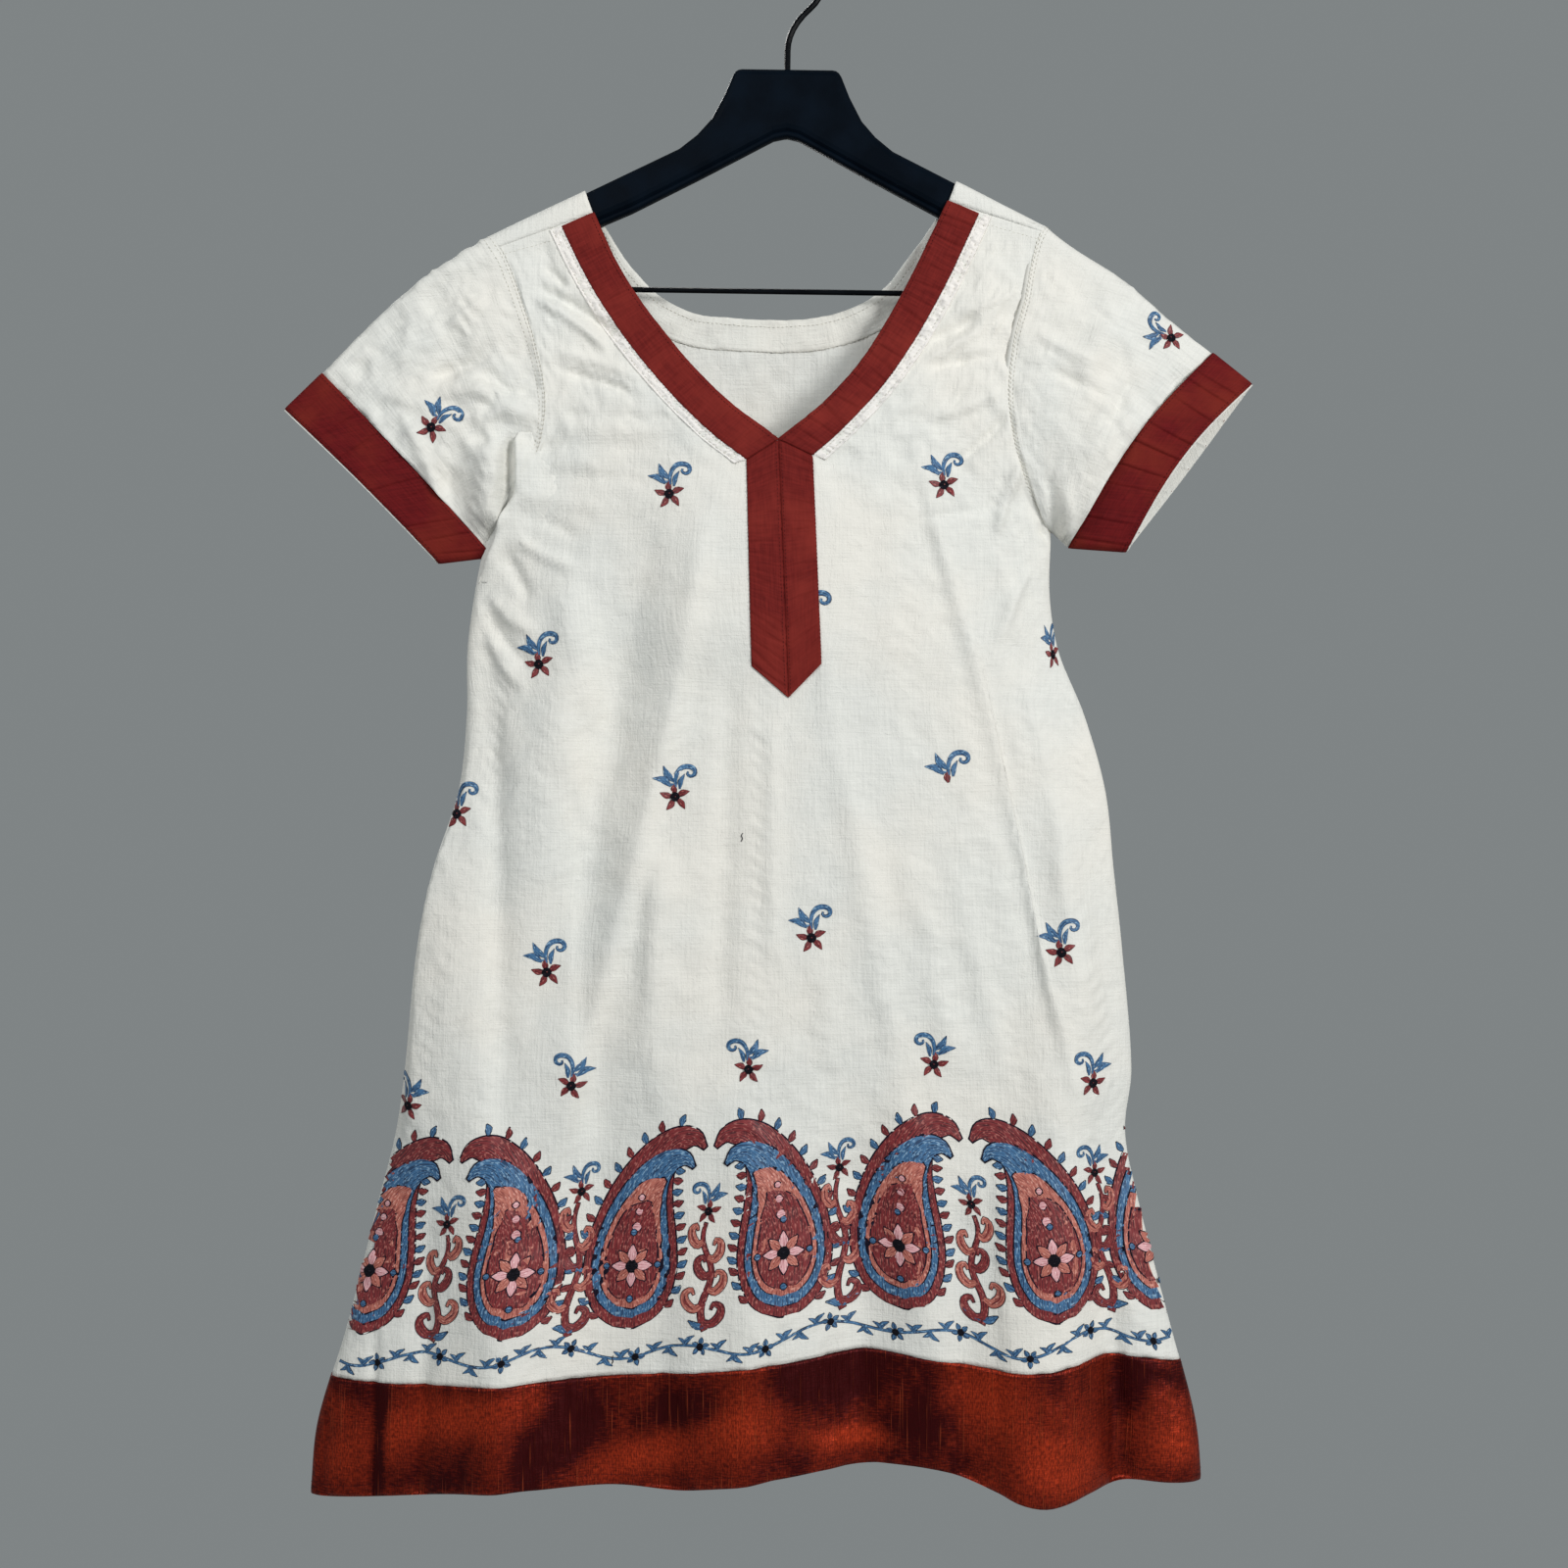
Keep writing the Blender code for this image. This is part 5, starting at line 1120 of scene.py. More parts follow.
# Side fold: its left edge and width down the body, and its height by share of the width
FOLD_TOP_Z, FOLD_LOW_Z = -346.0, -452.0
FOLD_LEFT = table(
    "z x",
    (FOLD_LOW_Z, -217.5), (-436, -212.5), (-425, -207.5), (-403, -199.5), (-388, -190.8), (-352, -190.2),
    (FOLD_TOP_Z, -187.5))
FOLD_WIDE = table("z wide", (FOLD_LOW_Z, 9), (-430, 26), (-400, 34), (-370, 26), (FOLD_TOP_Z, 10))
FOLD_HEIGHT = table(
    "share height",
    (0, 2.6), (0.03, 5.1), (0.07, 5.8), (0.12, 5.9), (0.18, 5.6), (0.26, 4.8), (0.36, 3.8), (0.48, 2.8),
    (0.6, 1.8), (0.72, 1.0), (0.84, 0.45), (0.93, 0.0), (1, -0.7))


def make_side_fold(cloth):
    """Fold of the body's left side that laps over the sleeve's underarm."""
    z = np.linspace(FOLD_TOP_Z, FOLD_LOW_Z, 54)
    left, wide = read(FOLD_LEFT, "z", "x", z), read(FOLD_WIDE, "z", "wide", z)
    across = np.concatenate([[0.0], np.linspace(0.0, 1.0, 36)])
    high = np.interp(across, FOLD_HEIGHT["share"], FOLD_HEIGHT["height"])
    high[0] = -0.5
    x = left[:, None] + wide[:, None] * across[None]
    grid = np.stack([x, 0.0 * x, np.broadcast_to(z[:, None], x.shape)], -1)
    for place in grid.reshape(-1, 3):
        starts = [Vector((place[0] + dx, -RAY_START, place[2] + dz))
                  for dx, dz in ((0, 0), (-3, 0), (3, 0), (0, 4), (0, -4))]
        near = [cloth.tree.ray_cast(start, Vector((0.0, 1.0, 0.0)))[0] for start in starts]
        place[1] = np.mean([hit.y for hit in near if hit] or [0.0])
    end = smoothstep((FOLD_TOP_Z - z) / 9.0) * smoothstep((z - FOLD_LOW_Z) / 24.0)
    grid[..., 1] -= np.where(high > 0, high[None] * end[:, None] + 0.25, high[None])
    crinkle = crumple(x, grid[..., 2], CRUMPLE_SEED["side_fold"])
    grid[..., 1] -= 0.35 * crinkle * (end[:, None] * smoothstep(across / 0.1)[None])
    drop = np.linspace(150.0, ARMPIT_DROP, 40)
    seam = armhole_point("left", drop)
    seam_x = np.interp(-grid[..., 2], -seam[:, 1], seam[:, 0])
    grid[..., 1] += 1.1 * np.exp(-((x - seam_x) / 1.1) ** 2) * smoothstep((grid[..., 2] + 396.0) / 14.0)
    uv = np.stack([x, grid[..., 2]], -1)
    return build_grid("side_fold_left", grid, uv, THICK["side_fold"])


# Rib under the hanger's arms, from end to end
RIB_ENDS = (-146.0, 124.0)
RIB_RINGS = 109


def make_rib(node):
    """Lower lip of the hanger's arms, a little behind their front face."""
    tree = BVHTree.FromPolygons([node.matrix_world @ v.co / MM for v in node.data.vertices],
                                [list(f.vertices) for f in node.data.polygons])
    rings = []
    for x in np.linspace(*RIB_ENDS, RIB_RINGS):
        foot = tree.ray_cast(Vector((x, 0.0, -260.0)), Vector((0.0, 0.0, 1.0)))[0]
        front = tree.ray_cast(Vector((x, -60.0, foot.z + 4.0)), Vector((0.0, 1.0, 0.0)))[0]
        deep = -front.y - 1.2
        half = [(deep, 1.0), (deep, -1.6), (deep - 0.8, -2.4)]
        ring = half + [(-y, z) for y, z in half[::-1]]
        rings.append([(x, -y, foot.z + z) for y, z in ring])
    return build_grid("hanger_rib", np.array(rings), closed=True, shift=0.0)


# How much narrower the border's motifs are for each millimetre above its ground line
BORDER_TAPER = 0.0006
# Height of a motif's lowest threads above the cloth
LOW_LIFT = 0.42


class Place:
    """Where a motif goes: origin, turn, mirror and size, and the ground line that bends it if it has one."""

    def __init__(self, cloth, x, z, turn=0.0, flip=1.0, size=1.0, border=None):
        self.cloth, self.at = cloth, np.array((x, z))
        self.flip, self.size, self.border = flip, size, border
        c, s = ray(turn)
        self.turn = np.array(((c, s), (-s, c)))

    def world(self, local):
        """Places in the front view from places in the motif."""
        place = (local * (self.flip * self.size, self.size)) @ self.turn + self.at
        if self.border is None:
            return place
        s, h = place[..., 0], place[..., 1]
        x = s * (1.0 - BORDER_TAPER * h)
        return np.stack([x, self.border(x) + h], -1)

    def ribbon(self, colour, path, widths, lift, columns, under, step=2.4):
        """Band of stitches along a path, over a darker edge a little wider than itself."""
        path = np.asarray(path, float)
        far = run_length(path)
        count = max(4, int(far[-1] / step) + 1)
        at = np.linspace(0.0, far[-1], count)
        line = np.stack([curve_value(far, path[:, k], at) for k in (0, 1)], -1)
        keys = far / far[-1] if len(widths) == len(path) else np.linspace(0.0, 1.0, len(widths))
        half = np.maximum(0.1, curve_value(keys, np.array(widths, float), at / far[-1]) / 2)
        way = unit(np.gradient(line, axis=0))
        side = np.stack([-way[:, 1], way[:, 0]], -1)
        across = np.linspace(-1.0, 1.0, columns + 1)
        random = 17.0 * (self.at[0] + line[0, 0]) % 5.0
        uv = point(half[:, None] * across + random, at[:, None]) * self.size
        place = line[:, None] + side[:, None] * (half[:, None] * across[None])[..., None]
        self.cloth.lay(colour, self.world(place), lift + 0.22 * (1.0 - across ** 2)[None], uv)
        if under:
            line = line.copy()
            line[0] -= way[0] * under
            line[-1] += way[-1] * under
            place = line[:, None] + side[:, None] * ((half + under)[:, None] * across[None])[..., None]
            self.cloth.lay("dark", self.world(place), 0.16 if lift < 0.5 else lift - 0.12, uv)

    def disc(self, colour, x, y, radius, lift, under):
        """Round spot of stitches."""
        reach = np.array([-0.98, -0.7, 0.0, 0.7, 0.98])
        path = [(x + radius * r, y) for r in reach]
        widths = 2 * radius * np.sqrt(1.0 - reach ** 2)
        self.ribbon(colour, path, widths, lift, 2, under, radius / 2.5)

    def leaf(self, colour, start, end, width, bow=0.0, lift=LOW_LIFT, under=0.5):
        """Pointed leaf from its stem to its tip."""
        start, end = np.array(start, float), np.array(end, float)
        middle = (start + end) / 2 + bow * np.array((start[1] - end[1], end[0] - start[0]))
        path = [start, mix(start, middle, 0.55) + (middle - start) * 0.1, middle, mix(middle, end, 0.6), end]
        widths = [share * width for share in (0.3, 0.9, 0.95, 0.5, 0.04)]
        self.ribbon(colour, path, widths, lift, 2, under, max(1.3, np.linalg.norm(end - start) / 8))


# Tendril of a sprig
CURL = table(
    "x z wide",
    (0.2, 7.5, 1.8), (-0.4, 13.0, 2.5), (0.9, 19.0, 3.2), (4.4, 23.0, 3.7), (9.6, 24.0, 3.7),
    (13.8, 22.2, 3.4), (14.4, 18.6, 3.0), (11.6, 16.6, 2.5), (8.6, 17.8, 2.0), (9.0, 20.0, 1.4))


def sprig(place, petals=5, centre=True, detail=True):
    """Small flower with leaves and a curled tendril."""
    for k in range(petals):
        way = ray(90.0 + 72.0 * k + 6.0)
        place.leaf("rust", way * 2.0, way * (12.0 if k else 10.0), 5.0, 0.08, under=0.2)
    if centre:
        place.disc("black", 0.0, 0.0, 3.9, 1.0, 0.0)
        place.disc("rust", 0.3, 0.3, 0.5, 1.3, 0.0)
    if detail:
        place.leaf("blue", (-3.6, 8.2), (-17.8, 13.6), 5.4, -0.14, under=0.15)
        place.leaf("blue", (-1.2, 12.0), (-10.0, 23.4), 5.4, 0.12, under=0.15)
        place.leaf("blue", (3.2, 6.4), (6.4, 18.0), 4.0, 0.10, under=0.15)
        place.ribbon("blue", [(0.2, 6.0), (-2.0, 9.6), (-4.8, 9.0)], [1.6, 1.8, 1.4], LOW_LIFT, 1, 0.0, 1.6)
    curl = np.stack([CURL["x"], CURL["z"]], -1)
    place.ribbon("blue", curl, CURL["wide"], LOW_LIFT, 2, 0.15, 1.6)


# Mango motif: its spine from foot to tip with half its width there, and its nested teardrops
MANGO = table(
    "x z half",
    (0, 0, 0.5), (-0.2, 1.5, 8.5), (-0.5, 4, 13.5), (-1, 9, 19), (-2, 18, 24.5), (-3, 33, 28),
    (-2.5, 52, 26.5), (0, 70, 22), (5, 86, 16.5), (13, 99, 11.5), (24, 107, 7.5), (34, 107, 4.5),
    (40, 101, 1))
MANGO_MIDDLE = np.array((-2.0, 36.0))
# Colour, share of the whole, points of the spine, columns of thread
TEARDROPS = (("rust", 1.0, 13, 10), ("blue", 0.84, 13, 8), ("salmon", 0.68, 11, 6), ("rust", 0.57, 10, 4))


def paisley(place):
    """Mango motif: nested teardrops with a bent tip, flowers in them, and a fringe of small leaves."""
    spine, half = np.stack([MANGO["x"], MANGO["z"]], -1), MANGO["half"]
    for k, (colour, share, last, columns) in enumerate(TEARDROPS):
        widths = 2 * half[:last] * share
        widths[-1] = min(widths[-1], 2.0)
        path = mix(MANGO_MIDDLE, spine[:last], share)
        place.ribbon(colour, path, widths, LOW_LIFT + 0.28 * k, columns, 0.9, 2.2)
    for k in range(8):
        way = ray(45.0 * k)
        start, end = MANGO_MIDDLE + way * 3.0, MANGO_MIDDLE + way * 12.0
        place.leaf("salmon" if k % 2 else "pink", start, end, 5.4, 0.0, 1.75, 0.6)
        if k % 2 == 0:
            place.disc("blue", *(MANGO_MIDDLE + (way[0] * 15.5, way[1] * 19.0)), 1.7, 1.75, 0.5)
    place.disc("black", *MANGO_MIDDLE, 3.8, 2.1, 0.0)
    for at, size in ((58.0, 2.6), (67.0, 2.1), (75.0, 1.7)):
        place.disc("pink", -0.5 + (at - 58.0) * 0.12, at, size, 1.5, 0.6)
    keys = run_length(spine)
    keys /= keys[-1]
    for way in (-1.0, 1.0):
        for k in range(14):
            t = 0.07 + k * 0.062
            here, ahead = (np.array([curve_value(keys, spine[:, i], at) for i in (0, 1)])
                           for at in (t, t + 0.01))
            run = unit(ahead - here)
            out = np.array((-run[1], run[0])) * way
            edge = here + out * (curve_value(keys, half, t) + 0.6)
            tip = edge + out * 5.5 + run * 3.0
            place.leaf("blue" if k % 2 else "rust", edge, tip, 4.2, 0.1 * way, under=0.4)


# Curled leaf of a stem: share of its reach, and height
STEM_LEAF = ((0.0, 0.0), (0.5, -2.0), (1.0, 3.0), (1.05, 9.0), (0.65, 11.5), (0.5, 8.0))


def stem(place, height, lean):
    """Upright scrolling stem of rust and salmon with curled leaves."""
    at = np.linspace(0.0, 1.0, 14)
    line = np.stack([lean * 3.5 * np.sin(at * 9.0), at * height], -1)
    place.ribbon("rust", line, [5.0, 4.4, 3.6, 2.4], LOW_LIFT, 2, 0.5)
    place.leaf("blue", (0.0, 2.0), (-12.0 * lean, 9.0), 5.0, 0.1)
    place.leaf("blue", (0.0, 2.0), (12.0 * lean, 7.0), 5.0, -0.1)
    for k in range(6):
        up = 0.08 + 0.15 * k
        base = np.array((lean * 3.5 * math.sin(9.0 * up), up * height))
        way = lean if k % 2 else -lean
        reach = 12.5 - 0.9 * k
        curl = [base + (way * reach * out, high) for out, high in STEM_LEAF]
        place.ribbon("salmon" if k % 3 else "rust", curl, [3.4, 5.6, 6.0, 4.6, 3.0, 1.4], 0.5, 2, 0.5, 1.8)
        place.ribbon("rust", curl[1:4], [0.7, 1.1, 0.8], 0.85, 1, 0.0, 2.2)


def vine_height(s):
    """Height of the vine's line along the border."""
    return 9.0 + 5.0 * np.sin(s / 15.0) + 2.0 * np.sin(s / 41.0)


def vine(place, reach):
    """Low vine with black-centred blue flowers and pairs of leaves."""
    s = np.arange(-reach, reach, 6.0)
    place.ribbon("blue", np.stack([s, vine_height(s)], -1), [1.6, 1.6], LOW_LIFT, 1, 0.25, 4.0)
    for k, at in enumerate(np.arange(-reach + 6.0, reach - 6.0, 11.5)):
        y = vine_height(at)
        if k % 4 == 2:
            for j in range(5):
                way = ray(72.0 * j + 20.0 * k)
                start, end = np.array((at, y)) + way * 1.8, np.array((at, y)) + way * 6.4
                place.leaf("blue", start, end, 3.6, under=0.3)
            place.disc("black", at, y, 2.6, 0.75, 0.0)
        else:
            up = 1.0 if k % 2 else -1.0
            place.leaf("blue", (at, y), (at + 7.0, y + 6.5 * up), 3.2, 0.12 * up, under=0.3)
            place.leaf("blue", (at + 2.0, y), (at - 4.0, y + 5.0 * up), 2.6, -0.1 * up, under=0.25)


# Sprigs by the pixel of the photograph where their flower is: turn, mirror, size
SPRIGS = table(
    "px py turn flip size",
    (440, 436, -38, 1, 1), (683, 504, -4, 1, 1), (963, 495, 0, 1, 1), (550, 678, 0, 1, 1),
    (1074, 668, 4, 0.5, 1), (461, 831, -3, 1, 1), (689, 813, -3, 1, 1), (558, 992, 2, 1, 1),
    (828, 957, 0, 1, 1), (1083, 972, 3, 1, 1), (1195, 345, 66, 1, 0.9),
    (583, 1108, -4, -1, 0.95), (764, 1091, 6, -1, 0.95), (953, 1086, 0, -1, 0.95),
    (1115, 1105, 0, -1, 0.95), (417, 1128, -4, -1, 0.95))
SPRIG_SCALE = 0.9
# Places of sprigs of which only a part is sewn, and of loose ends of thread, in the same pixels
HALF_SPRIG = (968, 801)
BARE_CURL = (825, 640)
LOOSE_THREADS = ((625, 1388), (757, 855), (522, 548))
LOOSE_PATH = ((-0.6, -2.5), (0.5, -0.5), (-0.4, 1.5), (0.8, 3.5))
BACK_SPRIGS = table(
    "x z turn",
    (-120, -380, 4), (100, -372, -4), (-10, -450, 0), (-150, -520, 2), (140, -510, 0), (-60, -600, -3),
    (60, -590, 3), (-190, -650, 0), (190, -640, 2), (-110, -710, 0), (10, -700, -2), (130, -715, 0),
    (300, -330, -50), (-262, -320, 0))
# Border along its ground line: mangoes (kind 0), low and high stems (1 and 2), and their heights
MANGO_BASE, STEM_BASE, VINE_BASE = 33.0, 30.0, 8.0
STEM_HEIGHT = {1: 74.0, 2: 92.0}
STEM_LEAN = {1: 1.0, 2: -1.0}
VINE_REACH = 318.0
BORDER = table(
    "s kind flip size",
    (-300, 0, 1, 1.22), (-204, 0, -1, 1.22), (-104, 0, 1, 1.22), (-8, 0, -1, 1.22), (92, 0, 1, 1.22),
    (188, 0, -1, 1.22), (284, 0, 1, 1.22), (-252, 1, 1, 1.0), (-154, 2, 1, 1.0), (-56, 1, -1, 1.0),
    (42, 2, 1, 1.0), (140, 1, 1, 1.0), (236, 2, -1, 1.0))


def embroider_front(cloth):
    """Sprigs, border and vine of the front and of the sleeves' fronts."""
    for px, py, turn, flip, size in zip(*SPRIGS.values()):
        sprig(Place(cloth, *cloth.seen(px, py), turn, flip, SPRIG_SCALE * size))
    sprig(Place(cloth, *cloth.seen(*HALF_SPRIG), size=0.95), 1, False)
    sprig(Place(cloth, *cloth.seen(*BARE_CURL)), 0, False, False)
    for px, py in LOOSE_THREADS:
        loose = Place(cloth, *cloth.seen(px, py))
        loose.ribbon("dark", LOOSE_PATH, [0.5, 0.7, 0.6, 0.3], 0.5, 1, 0.0, 1.0)
    embroider_border(cloth, "front")


def embroider_border(cloth, face):
    """Row of mango motifs and scrolling stems above a vine."""

    def ground(x):
        return hem_z(face, "seam", x)

    for s, kind, flip, size in zip(*BORDER.values()):
        s = s if face == "front" else -s
        if kind == 0:
            paisley(Place(cloth, s - 5.0 * flip, MANGO_BASE, 0, flip, size, ground))
        else:
            height = STEM_HEIGHT[kind]
            stem(Place(cloth, s, STEM_BASE, 0, flip, size, ground), height, STEM_LEAN[kind])
            sprig(Place(cloth, s, STEM_BASE + 8.0 + height, 0, flip, 0.8, ground))
    vine(Place(cloth, 0.0, VINE_BASE, border=ground), VINE_REACH)


def embroider_back(cloth):
    """Sprigs and border of the back, like those of the front."""
    for x, z, turn in zip(*BACK_SPRIGS.values()):
        sprig(Place(cloth, x, z, turn, -1))
    embroider_border(cloth, "back")


# Painted sheen of the hem band's silk, painted highlights and shade in bright and dark reaches, in pixels of
# the
# photograph: middle, half sizes, lean and light (above zero painted highlight, below zero painted shade)
PAINTED_SHEEN_BASE = 0.34
PAINTED_SHEEN_REACH = 0.66
BACK_SHIFT = 26.0
SILK = table(
    "px py wide tall lean light",
    (336, 1500, 24, 20, 0, 0.7), (350, 1425, 26, 16, 0, -0.7), (379, 1460, 5, 75, -3, -1.1),
    (448, 1450, 62, 19, 14, 1.1), (425, 1512, 60, 12, 4, -0.4), (565, 1462, 42, 24, 52, -1.3),
    (525, 1412, 60, 9, 4, -0.4), (655, 1488, 52, 17, 16, 1.2), (690, 1436, 44, 16, 18, -0.9),
    (757, 1445, 30, 34, 40, 0.9), (800, 1490, 34, 16, 0, -0.4), (850, 1405, 62, 22, 0, -1.0),
    (868, 1470, 40, 10, -4, 1.2), (930, 1458, 30, 30, -30, -1.0), (1012, 1428, 46, 30, -20, 0.9),
    (1076, 1492, 40, 26, -10, 1.2), (1115, 1432, 26, 30, -30, 0.5), (1150, 1424, 18, 26, -30, -0.8),
    (1142, 1494, 16, 18, 0, -0.6), (1202, 1484, 26, 20, 0, 0.9), (1190, 1412, 28, 12, -20, -0.7),
    (620, 1408, 30, 8, 8, 0.3), (985, 1490, 20, 12, 0, -0.4))


def painted_silk_sheen(face, x, z):
    """Painted highlight and shade of the silk's sheen: how much brighter or darker it is than usual; the back
    has the same reaches mirrored.
    """
    px = CENTRE_PIXEL + FACE[face] * -1.0 * (x + CLOTH_SHIFT) / FRONT_PIXEL
    px = px if face == "front" else px + BACK_SHIFT
    py = (FRONT_TOP_Z - z) / FRONT_PIXEL
    total = 0.0 * px
    for at_x, at_y, wide, tall, lean, light in zip(*SILK.values()):
        c, s = ray(lean)
        u = ((px - at_x) * c - (py - at_y) * s) / (1.2 * wide)
        v = ((px - at_x) * s + (py - at_y) * c) / (1.15 * tall)
        total += light * np.exp(-(np.abs(u) ** 2.4 + np.abs(v) ** 2.4))
    return total


class Shader:
    """Nodes of one material."""

    def __init__(self, name, **values):
        self.material = bpy.data.materials.new(name)
        self.material.use_nodes = True
        self.tree = self.material.node_tree
        self.bsdf = self.tree.nodes["Principled BSDF"]
        self.set(**values)

    def set(self, **values):
        """Inputs of the main node by their names, with underlines for spaces; gives back the material."""
        for key, value in values.items():
            self.put(self.bsdf.inputs[key.replace("_", " ")], value)
        return self.material

    def put(self, socket, value):
        """Value or link into a socket."""
        if isinstance(value, bpy.types.NodeSocket):
            self.tree.links.new(value, socket)
        elif isinstance(value, tuple) and len(value) == 3 and socket.type == "RGBA":
            socket.default_value = (*value, 1.0)
        else:
            socket.default_value = value

    def node(self, kind, settings=(), **inputs):
        """New node; inputs go by their socket's name or number."""
        made = self.tree.nodes.new("ShaderNode" + kind)
        for key, value in dict(settings).items():
            setattr(made, key, value)
        for key, value in inputs.items():
            self.put(made.inputs[int(key[1:]) if key[0] == "_" else key.replace("_", " ")], value)
        return made

    def coordinates(self, kind, scale=(1, 1, 1), turn=0.0):
        """Coordinates in metres, stretched."""
        source = self.node("TexCoord").outputs[kind]
        return self.node("Mapping", _0=source, Rotation=(0.0, 0.0, turn), Scale=scale).outputs[0]

    def noise(self, vector, scale, detail, rough=0.5, distortion=0.0):
        """Noise between 0 and 1."""
        made = self.node("TexNoise", Vector=vector, Scale=scale, Detail=detail, Roughness=rough,
                         Distortion=distortion)
        return made.outputs[0]

    def threads(self, across, down, detail=2.0, rough=0.5):
        """Noise drawn out along threads, with so many cells in a metre across and down the cloth."""
        return self.noise(self.coordinates("UV", (across, down, 1.0)), 1.0, detail, rough)

    def ramp(self, value, low, high, from_low=0.35, from_high=0.65):
        """Value moved from one range to another."""
        made = self.node("MapRange", Value=value, From_Min=from_low, From_Max=from_high,
                         To_Min=low, To_Max=high)
        return made.outputs[0]

    def maths(self, kind, a, b):
        """Sum, product and so on."""
        return self.node("Math", {"operation": kind}, _0=a, _1=b).outputs[0]

    def blend(self, share, a, b):
        """Colour between two others."""
        made = self.node("Mix", {"data_type": "RGBA"}, _0=share)
        self.put(made.inputs[6], a)
        self.put(made.inputs[7], b)
        return made.outputs[2]

    def bump(self, height, distance, strength, normal=None):
        """Bump of a height in units of its distance, in metres."""
        made = self.node("Bump", Strength=strength, Distance=distance, Height=height)
        if normal is not None:
            self.put(made.inputs["Normal"], normal)
        return made.outputs[0]


def slub_cotton(name, colour, shade, warm):
    """Off-white slub cotton: uneven threads both ways, crinkled, with faint warm and cool patches."""
    s = Shader(name, Roughness=0.88, Sheen_Weight=0.06, Sheen_Roughness=0.5, Specular_IOR_Level=0.15)
    uv = s.coordinates("UV")
    down = s.threads(520.0, 34.0, 3.0, 0.6)
    weft = s.threads(40.0, 640.0, 3.0, 0.6)
    fine = s.noise(uv, 900.0, 1.0)
    crinkle = s.noise(s.coordinates("UV", (1.0, 0.75, 1.0)), 150.0, 4.0, 0.62, 0.6)
    patch = s.noise(uv, 9.0, 3.0)
    slubs = s.maths("ADD", s.ramp(down, 0.0, 1.0, 0.3, 0.75), s.ramp(weft, 0.0, 0.8, 0.3, 0.75))
    tone = s.blend(s.ramp(slubs, 0.0, 1.0, 0.2, 1.6), shade, colour)
    tone = s.blend(s.ramp(patch, 0.0, 0.75, 0.4, 0.62), tone, warm)
    lower = s.bump(crinkle, 0.0008, 1.0)
    middle = s.bump(slubs, 0.00022, 1.0, lower)
    return s.set(Base_Color=tone, Normal=s.bump(fine, 0.00026, 0.7, middle))


def band_cotton(name, colour, dark, bright):
    """Rust plain cotton with fine threads both ways, worn lighter on its raised threads."""
    s = Shader(name, Roughness=0.78, Specular_IOR_Level=0.10)
    warp, weft = s.threads(700.0, 60.0), s.threads(60.0, 700.0)
    patch = s.noise(s.coordinates("Object"), 26.0, 3.0)
    threads = s.maths("ADD", warp, weft)
    tone = s.blend(s.ramp(threads, 0.0, 1.0, 0.75, 1.3), dark, colour)
    tone = s.blend(s.ramp(patch, 0.0, 0.8, 0.42, 0.66), tone, bright)
    crinkle = s.noise(s.coordinates("UV"), 130.0, 3.0, 0.6, 0.5)
    lower = s.bump(crinkle, 0.0010, 0.7)
    return s.set(Base_Color=tone, Normal=s.bump(threads, 0.00025, 0.9, lower))


def dupioni(name):
    """Shot dupioni: glossy, with painted sheen in dark and bright reaches (painted shade and painted
    highlights) and long upright slubs of lighter orange thread.
    """
    s = Shader(name, Metallic=0.7, Specular_IOR_Level=0.2)
    slub = s.threads(820.0, 15.0, rough=0.6)
    weave = s.threads(1100.0, 300.0)
    cross = s.threads(160.0, 1000.0)
    ripple = s.noise(s.coordinates("UV", (1.0, 0.6, 1.0), -0.5), 30.0, 3.0, 0.55, 0.4)
    # Painted sheen: painted highlights and shade from the light attribute, with a broad noise adding more
    # painted sheen
    light = s.node("Attribute", {"attribute_name": "light"}).outputs["Fac"]
    uneven = s.maths("ADD", s.ramp(ripple, -0.28, 0.28, 0.3, 0.7), s.ramp(cross, -0.20, 0.20, 0.35, 0.65))
    shine = s.maths("ADD", light, uneven)
    # From painted shade in dark maroon to painted highlight in bright orange
    tone = s.blend(s.ramp(shine, 0.0, 1.0, 0.0, 1.15), (0.056, 0.0034, 0.0040), (0.58, 0.054, 0.0160))
    tone = s.blend(s.ramp(weave, 0.0, 0.6, 0.42, 0.60), tone, (0.040, 0.0032, 0.0034))
    tone = s.blend(s.ramp(slub, 0.0, 0.55, 0.62, 0.68), tone, (0.46, 0.075, 0.026))
    fine = s.maths("MULTIPLY", s.maths("ADD", weave, cross), 0.35)
    height = s.maths("ADD", s.ramp(slub, 0.0, 1.0, 0.5, 0.75), fine)
    normal = s.bump(height, 0.00045, 1.0, s.bump(ripple, 0.0030, 1.0))
    return s.set(Base_Color=tone, Roughness=s.ramp(weave, 0.38, 0.5), Normal=normal)


def thread(name, colour, dark, bright, gloss=0.5, shine=0.4):
    """Embroidery thread laid side by side along the shape, with painted glints as lighter flecks along the
    threads.
    """
    s = Shader(name, Roughness=gloss, Sheen_Weight=0.25 * shine, Specular_IOR_Level=shine)
    streak = s.threads(1150.0, 110.0, 1.5)
    painted_glint = s.threads(800.0, 330.0, 1.0)
    tone = s.blend(s.ramp(streak, 0.0, 1.0, 0.40, 0.54), dark, colour)
    # Painted glints: lighter flecks along the threads
    tone = s.blend(s.ramp(painted_glint, 0.0, 0.9, 0.56, 0.66), tone, bright)
    return s.set(Base_Color=tone, Normal=s.bump(streak, 0.0005, 0.9))


